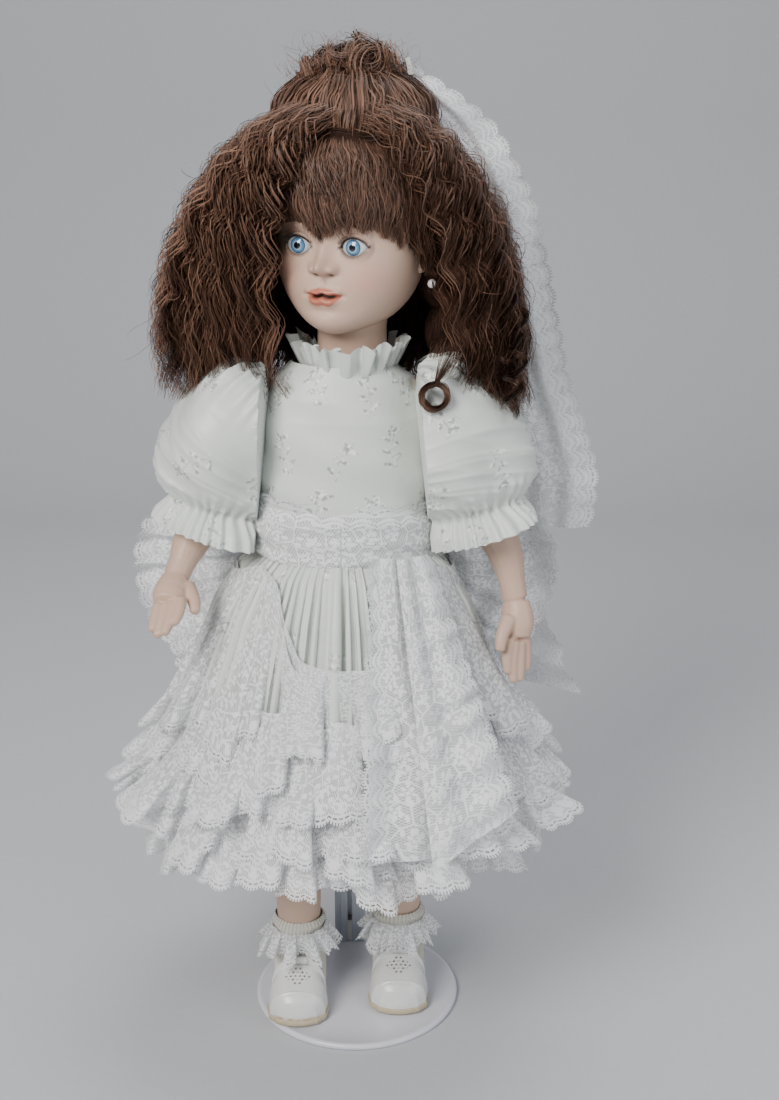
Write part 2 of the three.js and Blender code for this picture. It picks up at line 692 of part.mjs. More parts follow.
// The skull and face as one smooth form, narrower at the jaw, grown by an extra thickness.
function headForm(extra) {
  const sphere = new THREE.SphereGeometry(1, 18, 12).rotateX(Math.PI / 2);
  const place = sphere.attributes.position;
  for (let i = 0; i < place.count; i += 1) {
    const height = place.getZ(i);
    const jaw = height < 0 ? 1 - 0.2 * height * height : 1;
    const front = place.getY(i) < 0 ? 1 : 1.02;
    place.setXYZ(
      i,
      place.getX(i) * (HEAD_HALF_WIDTH + extra) * jaw,
      place.getY(i) * (HEAD_HALF_DEPTH + extra) * jaw * front + FACE_Y,
      height * (HEAD_HALF_HEIGHT + extra) + HEAD_Z,
    );
  }
  return solid(sphere);
}

function above(height, lean, shift = 0) {
  const slab = new THREE.BoxGeometry(400, 400, 200).translate(0, 0, 100);
  slab.rotateX(THREE.MathUtils.degToRad(lean));
  return solid(slab.translate(0, shift, height));
}

const EYE_Y = -31;
const CROWN_LEAN = -18; // the crown opening faces up and back
const HAIRLINE_LEAN = -52; // from the forehead down to the nape

function makeHead() {
  const nose = ball([6.5, 8, 7], [0, -HEAD_HALF_DEPTH + 1, 493], 16);
  const ears = [-1, 1].map((sign) => ball([4, 9, 13], [sign * (HEAD_HALF_WIDTH - 1), 8, 495], 14));
  const neckProfile = [[NECK_RADIUS + 1.6, NECK_BOTTOM], [NECK_RADIUS, NECK_BOTTOM + 12], [NECK_RADIUS, 480]];
  const neck = turnedSolid(neckProfile);
  const bore = turnedSolid([[NECK_RADIUS - HEAD_WALL, NECK_BOTTOM - 5], [NECK_RADIUS - HEAD_WALL, 480]]);
  const eyes = [-1, 1].map((sign) => [(sign * EYE_SPACING) / 2, EYE_Y, EYE_Z]);
  const sockets = eyes.map((at) => ball([EYE_RADIUS + GAP, EYE_RADIUS + GAP, EYE_RADIUS + GAP], at));
  const mouth = ball([7, 12, 2.6], [0, -HEAD_HALF_DEPTH + 6, 476], 16);
  const outer = joined(headForm(0), nose, neck, ...ears);
  const shell = cut(outer, headForm(-HEAD_WALL), bore, ...sockets, mouth);
  add(headGroup, "head_shell", largest(cut(shell, above(CROWN_Z, CROWN_LEAN))), BISQUE);

  const pate = cut(headForm(0), headForm(-HEAD_WALL)).intersect(above(CROWN_Z + GAP, CROWN_LEAN));
  add(headGroup, "pate", pate, VINYL);

  eyes.forEach((at, index) => {
    const side = index === 0 ? "right" : "left";
    const ballSolid = ball([EYE_RADIUS, EYE_RADIUS, EYE_RADIUS], at, 12);
    add(headGroup, `eye_${side}`, ballSolid, GLASS_EYE);
    const lobe = [(index === 0 ? -1 : 1) * (HEAD_HALF_WIDTH + 4), 6, 479];
    add(headGroup, `earring_${side}`, ball([2.6, 2.6, 2.6], lobe, 8), PEARL);
  });
}

// ---- Wig ----

function hairMass(extra) {
  const profile = [
    [52, HAIR_BOTTOM],
    [88, HAIR_BOTTOM + 18],
    [HAIR_HALF_WIDTH, HAIR_BOTTOM + 50],
    [HAIR_HALF_WIDTH - 3, HAIR_BOTTOM + 90],
    [86, HAIR_BOTTOM + 125],
    [62, HAIR_BOTTOM + 152],
    [34, HAIR_BOTTOM + 166],
  ].map(([radius, height]) => [radius + extra, height]);
  return turnedSolid(profile, { at: [0, 8, 0], round: 0.62 });
}

function makeWig() {
  const hairline = above(500, HAIRLINE_LEAN, -14);
  const ears = [-1, 1].map((sign) => ball([20, 18, 28], [sign * (HEAD_HALF_WIDTH + 6), 6, 488]));
  const neck = turnedSolid([[NECK_RADIUS + 2, 400], [NECK_RADIUS + 2, 481]]);
  const net = cut(headForm(GAP + 1.5), headForm(GAP)).intersect(hairline);
  add(headGroup, "wig_cap", largest(cut(net, neck, ...ears)), NET);

  const outer = headForm(HAIR_THICKNESS);
  const skin = headForm(2 * GAP + 1.5);
  const fringeSpace = box(78, 40, 44, [0, -HEAD_HALF_DEPTH - 5, 534]);
  const crown = cut(outer, skin, neck, ...ears).intersect(above(498, HAIRLINE_LEAN, -8));
  add(headGroup, "hair_crown", largest(cut(crown, fringeSpace)), HAIR);

  const fringeBox = box(78 - 2 * GAP, 36, 40, [0, -HEAD_HALF_DEPTH - 5, 535]);
  const fringe = cut(headForm(9), headForm(GAP + 1.5 + GAP)).intersect(fringeBox);
  add(headGroup, "hair_fringe", largest(fringe), HAIR);

  const topknot = cut(ball([33, 31, 27], [-2, 6, TOPKNOT_Z]), headForm(HAIR_THICKNESS + GAP));
  add(headGroup, "topknot", largest(topknot), HAIR);

  makeHangingHair();
}

// The hair that hangs over the shoulders is modelled in the doll's frame, clear of the dress under it.
// The space a sleeve fills, with room round it for the hair to rest beside it.
function sleeveSpace(sign) {
  const cuff = [sign * (SLEEVE_MIDDLE + 16), -11, 320];
  const path = [[sign * (ARMHOLE - 3), 0, 424], [sign * SLEEVE_MIDDLE, 0, 385], cuff];
  const puff = [[0, 0], [26, 0], [40, 0.14], [45, 0.42], [41, 0.66], [34, 1], [0, 1]];
  const middle = ball([42, 44, 58], [sign * (SLEEVE_MIDDLE + 6), 0, 380]);
  return joined(middle, along(path, puff, { sides: 28 }));
}

function makeHangingHair() {
  const toHead = (shape, from) => carried(geometryOf(shape), from, headGroup);
  const clear = 1;
  const collarSpace = [[COLLAR_RADIUS + 1.5, 420], [COLLAR_RADIUS + 2.5, 450]];
  const dress = [
    toHead(joined(bodiceForm(clear), plateForm(clear)), trunkGroup),
    toHead(turnedSolid(collarSpace, { at: COLLAR_AT }), trunkGroup),
    ...Object.values(SIDES).map((sign) => toHead(sleeveSpace(sign), trunkGroup)),
  ];
  const head = [
    headForm(HAIR_THICKNESS + GAP),
    turnedSolid([[NECK_RADIUS + 3, 400], [NECK_RADIUS + 3, 480]]),
    ball([12, 14, 26], [-HEAD_HALF_WIDTH, 8, 486]),
    ball([12, 14, 26], [HEAD_HALF_WIDTH, 8, 486]),
  ];
  const mass = toHead(hairMass(0), doll);
  const faceSpace = toHead(
    joined(box(110, 120, 200, [-4, -60 - 12, 460]), box(400, 60, 300, [0, -30 - 42, 460])),
    doll,
  );
  const all = cut(mass, faceSpace, ...head, ...dress);
  const sideOf = (low, high) => toHead(box(high - low, 400, 400, [(low + high) / 2, 0, 460]), doll);
  const edge = 44;
  const backOnly = toHead(box(2 * edge, 400, 400, [0, 200 + 14, 460]), doll);
  add(headGroup, "hair_right", largest(all.intersect(sideOf(-200, -edge - GAP))), HAIR);
  add(headGroup, "hair_left", largest(all.intersect(sideOf(edge + GAP, 200))), HAIR);
  add(headGroup, "hair_back", largest(all.intersect(backOnly)), HAIR);
}

// ---- Bridal veil ----

function makeVeil() {
  const toHead = (shape) => carried(geometryOf(shape), doll, headGroup);
  const combAt = [33, 16, 598];
  const comb = new THREE.BoxGeometry(3, 26, 9).rotateY(THREE.MathUtils.degToRad(-14));
  const topknotSpace = ball([33 + GAP, 31 + GAP, 27 + GAP], [-2, 6, TOPKNOT_Z]);
  const combSolid = toHead(solid(comb.clone().translate(...combAt)));
  const combSpace = solid(comb.clone().scale(1.3, 1.05, 1.1).translate(...combAt));
  add(headGroup, "veil_comb", largest(cut(combSolid, topknotSpace)), VINYL);

  const outline = new THREE.Shape();
  outline.moveTo(36, 606);
  outline.splineThru([
    new THREE.Vector2(76, 572),
    new THREE.Vector2(104, 522),
    new THREE.Vector2(121, 460),
    new THREE.Vector2(152, 360),
  ]);
  outline.lineTo(148, 308);
  outline.lineTo(118, 322);
  outline.splineThru([new THREE.Vector2(92, 420), new THREE.Vector2(76, 500), new THREE.Vector2(38, 586)]);
  outline.closePath();
  const sheet = new THREE.ExtrudeGeometry(outline, { depth: 2.5, bevelEnabled: false, curveSegments: 6 });
  const spot = sheet.attributes.position;
  for (let i = 0; i < spot.count; i += 1) {
    const height = spot.getY(i);
    spot.setXYZ(i, spot.getX(i), 66 - 0.13 * (height - 308) + spot.getZ(i), height);
  }
  const hair = [hairMass(GAP), carried(geometryOf(headForm(HAIR_THICKNESS + GAP)), headGroup, doll)];
  const veil = cut(solid(sheet), ...hair, combSpace);
  add(headGroup, "veil", toHead(largest(veil)), LACE);
}

makeStand();
makeClip();
makeTrunk();
makeBodice();
makeSash();
makeSkirt();
makeStreamer();
for (const side of Object.keys(SIDES)) {
  makeArm(side);
  makeLeg(side);
}
makeHead();
makeWig();
makeVeil();

export default doll;
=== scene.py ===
"""The looks of a porcelain doll in a lace dress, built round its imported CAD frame. Metres, +Z up."""

import math

import bpy
import numpy as np
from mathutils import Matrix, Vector


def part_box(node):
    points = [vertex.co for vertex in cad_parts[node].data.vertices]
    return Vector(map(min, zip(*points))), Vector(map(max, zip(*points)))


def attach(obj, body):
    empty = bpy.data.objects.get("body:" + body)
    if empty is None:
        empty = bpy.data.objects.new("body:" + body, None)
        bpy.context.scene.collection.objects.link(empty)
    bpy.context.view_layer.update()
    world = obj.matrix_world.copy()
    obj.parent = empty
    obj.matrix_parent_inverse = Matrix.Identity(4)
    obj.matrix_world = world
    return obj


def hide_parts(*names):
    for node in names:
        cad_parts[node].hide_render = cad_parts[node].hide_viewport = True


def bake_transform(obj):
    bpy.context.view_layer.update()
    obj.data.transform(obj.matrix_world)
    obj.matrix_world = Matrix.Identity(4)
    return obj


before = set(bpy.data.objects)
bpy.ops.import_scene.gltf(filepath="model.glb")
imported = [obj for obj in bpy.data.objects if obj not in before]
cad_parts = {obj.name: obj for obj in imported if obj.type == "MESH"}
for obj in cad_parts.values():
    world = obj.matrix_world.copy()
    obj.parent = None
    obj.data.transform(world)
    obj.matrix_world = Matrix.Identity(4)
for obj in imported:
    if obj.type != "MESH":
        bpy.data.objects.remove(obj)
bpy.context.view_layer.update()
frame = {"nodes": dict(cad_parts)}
nodes = frame["nodes"]
MM = 0.001
SIDES = {"right": -1, "left": 1}


# ---- Camera, lights and floor ----

CAMERA_PLACE = (0.022, -0.90, 0.61)
CAMERA_TILT = 71.8  # degrees up from straight down
CAMERA_LENS = 50.4  # millimetres, on a sensor 36 mm wide


def make_camera():
    data = bpy.data.cameras.new("camera")
    data.lens = CAMERA_LENS
    data.sensor_width = 36
    camera = bpy.data.objects.new("camera", data)
    camera.location = CAMERA_PLACE
    camera.rotation_euler = (math.radians(CAMERA_TILT), 0, 0)
    bpy.context.scene.collection.objects.link(camera)
    bpy.context.scene.camera = camera


def make_light(name, place, size, power, tint=(1, 1, 1)):
    data = bpy.data.lights.new(name, "AREA")
    data.size = size
    data.energy = power
    data.color = tint
    light = bpy.data.objects.new(name, data)
    light.location = place
    aim = Vector((0, 0, 0.35)) - Vector(place)
    light.rotation_euler = aim.to_track_quat("-Z", "Y").to_euler()
    bpy.context.scene.collection.objects.link(light)


def make_studio():
    make_light("key", (-0.8, -1.3, 1.35), 0.8, 38, (1, 0.97, 0.94))
    make_light("fill", (1.3, -1.0, 0.9), 1.2, 11, (0.93, 0.96, 1))
    make_light("top", (0.2, 0.4, 1.7), 1.0, 12)
    world = bpy.data.worlds.new("studio")
    world.use_nodes = True
    world.node_tree.nodes["Background"].inputs["Color"].default_value = (0.70, 0.74, 0.80, 1)
    world.node_tree.nodes["Background"].inputs["Strength"].default_value = 0.32
    bpy.context.scene.world = world
    radius, rise = 1.6, 2.2
    steps = 24
    angles = np.linspace(0, math.pi / 2, steps)
    bend = 0.5
    back = 1.1
    outline = [(-3.0, 0.0), (back, 0.0)]
    outline += [(back + bend * math.sin(a), bend * (1 - math.cos(a))) for a in angles]
    outline.append((back + bend, rise))
    verts = [(x, y, z) for y, z in outline for x in (-2 * radius, 2 * radius)]
    faces = [(2 * i, 2 * i + 1, 2 * i + 3, 2 * i + 2) for i in range(len(outline) - 1)]
    shader = Shader("backdrop_paper")
    grain = shader.noise(180, 4)
    shader.set("Base Color", shader.mix(grain, (0.50, 0.51, 0.53), (0.54, 0.55, 0.57)))
    shader.set("Roughness", 0.9)
    floor = mesh_piece("floor", verts, faces, shader.material)


# ---- Meshes ----

def mesh_piece(name, verts, faces, material, uv=None, marks=None, smooth=True):
    """A mesh object. uv holds a pair for each vertex, and marks maps a name to a number for each vertex."""
    mesh = bpy.data.meshes.new(name)
    mesh.from_pydata(np.asarray(verts, float).tolist(), [], np.asarray(faces).tolist())
    if smooth:
        mesh.shade_smooth()
    if uv is not None:
        corner = np.zeros(len(mesh.loops), np.int32)
        mesh.loops.foreach_get("vertex_index", corner)
        layer = mesh.uv_layers.new(name="UVMap")
        layer.data.foreach_set("uv", np.asarray(uv, np.float32)[corner].ravel())
    for key, values in (marks or {}).items():
        attribute = mesh.attributes.new(key, "FLOAT", "POINT")
        attribute.data.foreach_set("value", np.asarray(values, np.float32).ravel())
    mesh.materials.append(material)
    piece = bpy.data.objects.new(name, mesh)
    bpy.context.scene.collection.objects.link(piece)
    return piece


def grid_faces(rows, columns, closed=False):
    """Quads of a grid whose vertex (row, column) is row * columns + column. Rows close up if closed."""
    last = rows if closed else rows - 1
    i, j = np.meshgrid(np.arange(last), np.arange(columns - 1), indexing="ij")
    after = (i + 1) % rows
    quads = [i * columns + j, after * columns + j, after * columns + j + 1, i * columns + j + 1]
    return np.stack([q.ravel() for q in quads], 1)


def unit(v):
    return v / np.maximum(np.linalg.norm(v, axis=-1, keepdims=True), 1e-12)


def smoothstep(low, high, x):
    t = np.clip((x - low) / (high - low), 0, 1)
    return t * t * (3 - 2 * t)


def bump(x, z, at, size):
    return np.exp(-(((x - at[0]) / size[0]) ** 2) - ((z - at[1]) / size[1]) ** 2)


def curve_through(points, count):
    """Points evenly spread along a smooth curve through a few chosen points."""
    points = np.asarray(points, float)
    padded = np.vstack([2 * points[0] - points[1], points, 2 * points[-1] - points[-2]])
    fine = []
    for k in range(len(points) - 1):
        a, b, c, d = padded[k : k + 4]
        t = np.linspace(0, 1, 40, endpoint=False)[:, None]
        fine.append(0.5 * (2 * b + (c - a) * t + (2 * a - 5 * b + 4 * c - d) * t**2 + (3 * b - a - 3 * c + d)
                           * t**3))
    fine = np.vstack([*fine, points[-1:]])
    run = np.concatenate([[0], np.cumsum(np.linalg.norm(np.diff(fine, axis=0), axis=1))])
    at = np.linspace(0, run[-1], count)
    return np.stack([np.interp(at, run, fine[:, k]) for k in range(3)], 1)


def frames_along(line, up=(0, -1, 0)):
    """Tangent, side and front unit vectors along a line."""
    tangent = unit(np.gradient(line, axis=0))
    side = unit(np.cross(np.broadcast_to(up, line.shape), tangent))
    return tangent, side, np.cross(tangent, side)


def smooth_noise(count, period, rng):
    """Smooth random numbers of about unit size, one new value every period samples."""
    knots = max(3, int(round(count / period)))
    values = rng.normal(size=knots)
    at = np.arange(count) / count * knots
    low = np.floor(at).astype(int)
    share = at - low
    share = share * share * (3 - 2 * share)
    return values[low % knots] * (1 - share) + values[(low + 1) % knots] * share


# ---- Materials ----

class Shader:
    """A material's nodes, built by short calls round one Principled shader."""

    def __init__(self, name):
        self.material = bpy.data.materials.new(name)
        self.material.use_nodes = True
        self.tree = self.material.node_tree
        self.body = self.tree.nodes["Principled BSDF"]

    def plug(self, socket, value):
        if isinstance(value, bpy.types.NodeSocket):
            self.tree.links.new(value, socket)
        elif isinstance(value, (tuple, list)) and len(value) == 3 and socket.type == "RGBA":
            socket.default_value = (*value, 1)
        else:
            socket.default_value = value

    def set(self, name, value):
        self.plug(self.body.inputs[name], value)

    def node(self, kind, inputs=None, **settings):
        made = self.tree.nodes.new(kind)
        for key, value in settings.items():
            setattr(made, key, value)
        for key, value in (inputs or {}).items():
            self.plug(made.inputs[key], value)
        return made

    def calc(self, operation, *values, clamp=False):
        made = self.node("ShaderNodeMath", operation=operation, use_clamp=clamp)
        for socket, value in zip(made.inputs, values):
            self.plug(socket, value)
        return made.outputs[0]

    def mix(self, share, first, second):
        made = self.node("ShaderNodeMix", data_type="RGBA")
        self.plug(made.inputs[0], share)
        self.plug(made.inputs[6], first)
        self.plug(made.inputs[7], second)
        return made.outputs[2]

    def mark(self, name):
        return self.node("ShaderNodeAttribute", attribute_name=name).outputs["Fac"]

    def place(self):
        """The surface's own place in metres."""
        return self.node("ShaderNodeTexCoord").outputs["Object"]

    def uv(self):
        """The piece's flat coordinates as two sockets, in millimetres."""
        split = self.node("ShaderNodeSeparateXYZ",
                          {0: self.node("ShaderNodeUVMap", uv_map="UVMap").outputs[0]})
        return split.outputs[0], split.outputs[1]

    def noise(self, scale, detail=3, place=None, stretch=None):
        place = place or self.place()
        if stretch:
            place = self.node("ShaderNodeMapping", {"Vector": place, "Scale": stretch}).outputs[0]
        made = self.node("ShaderNodeTexNoise", {"Vector": place, "Scale": scale, "Detail": detail})
        return made.outputs["Fac"]

    def ramp(self, value, low, high):
        made = self.node("ShaderNodeMapRange", {"Value": value, "From Min": low, "From Max": high})
        return made.outputs[0]

    def relief(self, height, strength, distance):
        made = self.node("ShaderNodeBump", {"Height": height, "Strength": strength, "Distance": distance})
        self.set("Normal", made.outputs[0])

    def grid_thread(self, u, v, slant, pitch, half_width):
        """1 on the threads of one slanting family of a net, else 0."""
        across = self.calc("DIVIDE", self.calc("ADD", u, self.calc("MULTIPLY", v, slant)), pitch)
        off = self.calc("ABSOLUTE", self.calc("SUBTRACT", self.calc("FRACT", across), 0.5))
        return self.calc("GREATER_THAN", off, 0.5 - half_width / pitch)

    def florets(self, u, v, size):
        """1 on small five-petalled flowers, their leaves and the cords between them, else 0.

        size is one flower's pitch.
        """
        x = self.calc("DIVIDE", u, size)
        y = self.calc("DIVIDE", v, size)
        flat = self.node("ShaderNodeCombineXYZ", {0: x, 1: y}).outputs[0]
        cell = self.node("ShaderNodeTexVoronoi", {"Vector": flat, "Scale": 1.0, "Randomness": 0.75},
                         voronoi_dimensions="2D")
        at = self.node("ShaderNodeSeparateXYZ", {0: cell.outputs["Position"]})
        angle = self.calc("ARCTAN2", self.calc("SUBTRACT", y, at.outputs[1]),
                          self.calc("SUBTRACT", x, at.outputs[0]))
        petal = self.calc("ADD", 0.27, self.calc("MULTIPLY", 0.10,
                                                 self.calc("COSINE", self.calc("MULTIPLY", angle, 5))))
        far = cell.outputs["Distance"]
        flower = self.ramp(self.calc("SUBTRACT", petal, far), -0.02, 0.04)
        eye = self.calc("COMPARE", far, 0.115, 0.022)
        flower = self.calc("SUBTRACT", flower, self.calc("MULTIPLY", eye, 0.7), clamp=True)
        leaves = self.node("ShaderNodeMapping",
                           {"Vector": flat, "Location": (5.3, 2.1, 0), "Rotation": (0, 0, 0.7),
                                                 "Scale": (1.5, 3.1, 1)}).outputs[0]
        leaf = self.node("ShaderNodeTexVoronoi", {"Vector": leaves, "Scale": 1.0, "Randomness": 0.9},
                         voronoi_dimensions="2D").outputs["Distance"]
        edges = self.node("ShaderNodeTexVoronoi", {"Vector": flat, "Scale": 1.0, "Randomness": 0.75},
                          voronoi_dimensions="2D", feature="DISTANCE_TO_EDGE").outputs["Distance"]
        return self.both(flower, self.ramp(leaf, 0.30, 0.24), self.calc("LESS_THAN", edges, 0.035))

    def both(self, *values):
        """The largest of several sockets."""
        result = values[0]
        for value in values[1:]:
            result = self.calc("MAXIMUM", result, value)
        return result


def satin_material(name, tint, shine=0.4):
    """Ivory satin with woven sprigs: the mark 'sprig' is 1 on a leaf. The leaves' light and dark patches are
    painted sheen.
    """
    shader = Shader(name)
    sprig = shader.mark("sprig")
    cast = shader.noise(22, 3)
    cloth = shader.mix(cast, tuple(0.93 * c for c in tint), tint)
    # Each woven leaf is patched dark grey to near-white: the woven leaves are real, their light and dark
    # patches are painted sheen.
    leaf = shader.mix(shader.ramp(shader.noise(420, 2), 0.42, 0.60), (0.33, 0.35, 0.34), (0.97, 0.98, 0.96))
    shader.set("Base Color", shader.mix(shader.calc("MULTIPLY", sprig, 0.92), cloth, leaf))
    shader.set("Roughness", shader.calc("SUBTRACT", shine, shader.calc("MULTIPLY", sprig, 0.12)))
    shader.set("Sheen Weight", 0.35)
    shader.set("Sheen Roughness", 0.4)
    warp = shader.noise(5200, 2, stretch=(1, 1, 0.15))
    crease = shader.calc("MULTIPLY", shader.noise(60, 4), 2.2)
    height = shader.calc("ADD", shader.calc("MULTIPLY", warp, 0.25), crease)
    shader.relief(shader.calc("ADD", height, shader.calc("MULTIPLY", sprig, 0.8)), 0.35, 0.0006)
    return shader.material


def lace_material(name, tint=(0.86, 0.87, 0.88), net_alpha=1.0, solid=0.96, ground_alpha=0.42):
    """Floral lace, with its flowers worked in the shader.

    UV is millimetres: u along the strip, v in from the scalloped edge. Mark 'motif' is the edge bands.
    """
    shader = Shader(name)
    u, v = shader.uv()
    motif = shader.mark("motif")
    net = shader.both(
        shader.grid_thread(u, v, 0.58, 1.7, 0.17),
        shader.grid_thread(u, v, -0.58, 1.7, 0.17),
    )
    net = shader.calc("MULTIPLY", net, net_alpha)
    tooth = shader.calc("GREATER_THAN", shader.calc("SINE", shader.calc("MULTIPLY", u, 2 * math.pi / 1.9)),
                        -0.1)
    fringe = shader.calc("MULTIPLY", tooth, shader.calc("LESS_THAN", v, 1.3))
    band = shader.calc("COMPARE", v, 1.75, 0.5)
    dash = shader.calc("GREATER_THAN", shader.calc("SINE", shader.calc("MULTIPLY", u, 2 * math.pi / 3.8)),
                       0.55)
    ladder = shader.calc("MULTIPLY", dash, shader.calc("COMPARE", v, 2.6, 0.45))
    cord = shader.calc("COMPARE", v, 3.5, 0.5)
    inside = shader.calc("GREATER_THAN", v, 3.9)
    flowers = shader.florets(u, v, 13.0)
    motif = shader.both(motif, shader.calc("MULTIPLY", flowers, shader.calc("GREATER_THAN", v, 8.5)))
    worked = shader.calc("MULTIPLY", shader.ramp(motif, 0.2, 0.8), solid)
    sheer = shader.calc("ADD", ground_alpha, shader.calc("MULTIPLY", net, 1 - ground_alpha))
    ground = shader.calc("MULTIPLY", shader.both(sheer, worked), inside)
    alpha = shader.calc("MINIMUM", shader.both(fringe, band, ladder, cord, ground), 1.0)
    shader.set("Alpha", alpha)
    shade = shader.mix(shader.calc("MULTIPLY", motif, 0.8), tuple(0.88 * c for c in tint), tint)
    shader.set("Base Color", shade)
    shader.set("Roughness", 0.75)
    shader.set("Sheen Weight", 0.3)
    thread = shader.calc("ADD", motif, shader.calc("MULTIPLY", shader.noise(3500, 1, stretch=(1, 1, 0.3)),
                                                   0.5))
    shader.relief(thread, 0.6, 0.0004)
    return shader.material


def organza_material(name):
    shader = Shader(name)
    u, v = shader.uv()
    weave = shader.both(shader.grid_thread(u, v, 0.0, 0.5, 0.11), shader.grid_thread(v, u, 0.0, 0.5, 0.11))
    shader.set("Alpha", shader.calc("ADD", 0.34, shader.calc("MULTIPLY", weave, 0.3)))
    shader.set("Base Color", shader.mix(shader.noise(40), (0.86, 0.88, 0.88), (0.93, 0.94, 0.94)))
    shader.set("Roughness", 0.45)
    shader.set("Sheen Weight", 0.4)
    return shader.material


def bisque_material(name, base=(0.60, 0.415, 0.315), painted=False):
    """Unglazed porcelain: fine tooth, soft blush. With paint, the face's marks colour it."""
    shader = Shader(name)
    cloud = shader.noise(35, 3)
    colour = shader.mix(cloud, tuple(0.96 * c for c in base), base)
    if painted:
        colour = shader.mix(shader.calc("MULTIPLY", shader.mark("blush"), 0.5), colour, (0.72, 0.33, 0.26))
        colour = shader.mix(shader.mark("shadow"), colour, (0.40, 0.27, 0.22))
        streak = shader.noise(700, 2, stretch=(1, 1, 0.25))
        coral = shader.mix(streak, (0.50, 0.13, 0.085), (0.60, 0.19, 0.12))
        colour = shader.mix(shader.calc("MULTIPLY", shader.mark("lips"), 0.86), colour, coral)
        # The mark 'liner' is the painted liner round the eyes, and painted shade in the crease above each
        # upper lid.
        colour = shader.mix(shader.mark("liner"), colour, (0.055, 0.048, 0.052))
        # The mark 'dark' is painted shade: the deep parting between the lips and the hollows of the nostrils.
        colour = shader.mix(shader.mark("dark"), colour, (0.02, 0.009, 0.008))
        gloss = shader.calc("SUBTRACT", 0.5, shader.calc("MULTIPLY", shader.mark("lips"), 0.24))
        shader.set("Roughness", gloss)
    else:
        shader.set("Roughness", shader.ramp(shader.noise(400, 2), -0.6, 1.9))
    shader.set("Base Color", colour)
    shader.set("Subsurface Weight", 0.12)
    shader.set("Subsurface Radius", (0.004, 0.002, 0.001))
    shader.set("Subsurface Scale", 0.5)
    shader.set("Specular IOR Level", 0.4)
    shader.relief(shader.noise(4200, 2), 0.12, 0.0002)
    return shader.material


def hair_material(name, root=(0.026, 0.013, 0.0095), tip=(0.29, 0.150, 0.095)):
    """Soft curls. The mark 'tone' varies from strand to strand, and along each by a painted highlight on
    every turn of a coil.
    """
    shader = Shader(name)
    tone = shader.mark("tone")
    shader.set("Base Color", shader.mix(tone, root, tip))
    shader.set("Roughness", shader.calc("ADD", 0.42, shader.calc("MULTIPLY", tone, 0.25)))
    shader.set("Specular IOR Level", 0.35)
    shader.relief(shader.noise(6000, 1, stretch=(1, 1, 0.2)), 0.2, 0.0001)
    return shader.material


def hair_shadow_material():
    """Painted shade inside the hair: a near-black under-layer beneath the strands, with a streaked grain."""
    shader = Shader("hair_shadow")
    streak = shader.noise(700, 3, stretch=(1, 1, 0.12))
    # Near-black browns: painted shade deep in the hair.
    shader.set("Base Color", shader.mix(shader.ramp(streak, 0.35, 0.7), (0.010, 0.006, 0.0045),
                                        (0.045, 0.022, 0.015)))
    shader.set("Roughness", 0.95)
    shader.set("Specular IOR Level", 0.05)
    shader.relief(streak, 0.8, 0.001)
    return shader.material


def painted_metal_material():
    shader = Shader("white_powder_coat")
    shader.set("Base Color", shader.mix(shader.noise(9, 4), (0.66, 0.66, 0.74), (0.74, 0.74, 0.80)))
    shader.set("Roughness", shader.ramp(shader.noise(70, 4), -0.9, 3.0))
    shader.set("Coat Weight", 0.4)
    shader.set("Coat Roughness", 0.15)
    shader.relief(shader.noise(1500, 2), 0.08, 0.0002)
    return shader.material


def steel_material():
    shader = Shader("plated_strip")
    drawn = shader.noise(900, 2, stretch=(1, 1, 0.01))
    shader.set("Base Color", shader.mix(drawn, (0.42, 0.46, 0.52), (0.62, 0.66, 0.70)))
    shader.set("Metallic", 1.0)
    shader.set("Roughness", shader.ramp(drawn, -0.5, 2.6))
    shader.relief(drawn, 0.1, 0.0001)
    return shader.material


def vinyl_material():
    shader = Shader("soft_vinyl")
    shader.set("Base Color", shader.mix(shader.noise(60), (0.70, 0.69, 0.64), (0.76, 0.75, 0.71)))
    shader.set("Roughness", 0.45)
    shader.relief(shader.noise(2200, 2), 0.15, 0.0002)
    return shader.material


def calico_material():
    shader = Shader("calico")
    weave = shader.noise(2600, 2, stretch=(1, 1, 2.2))
    shader.set("Base Color", shader.mix(weave, (0.62, 0.55, 0.45), (0.72, 0.66, 0.56)))
    shader.set("Roughness", 0.9)
    shader.set("Sheen Weight", 0.2)
    shader.relief(weave, 0.5, 0.0004)
    return shader.material


def knit_material():
    """Ribbed cream knit: UV u runs round the ankle in millimetres, v up it."""
    shader = Shader("rib_knit")
    u, v = shader.uv()
    rib = shader.calc("SINE", shader.calc("MULTIPLY", u, 2 * math.pi / 2.6))
    loops = shader.calc("SINE", shader.calc("MULTIPLY", v, 2 * math.pi / 0.9))
    depth = shader.calc("ADD", rib, shader.calc("MULTIPLY", loops, 0.3))
    # The rib's troughs are coloured darker than its ridges: painted shade in the rib's grooves.
    shade = shader.ramp(depth, -1.3, 1.3)
    shader.set("Base Color", shader.mix(shade, (0.66, 0.63, 0.52), (0.86, 0.84, 0.75)))
    shader.set("Roughness", 0.9)
    shader.set("Sheen Weight", 0.4)
    shader.relief(depth, 0.8, 0.0006)
    return shader.material


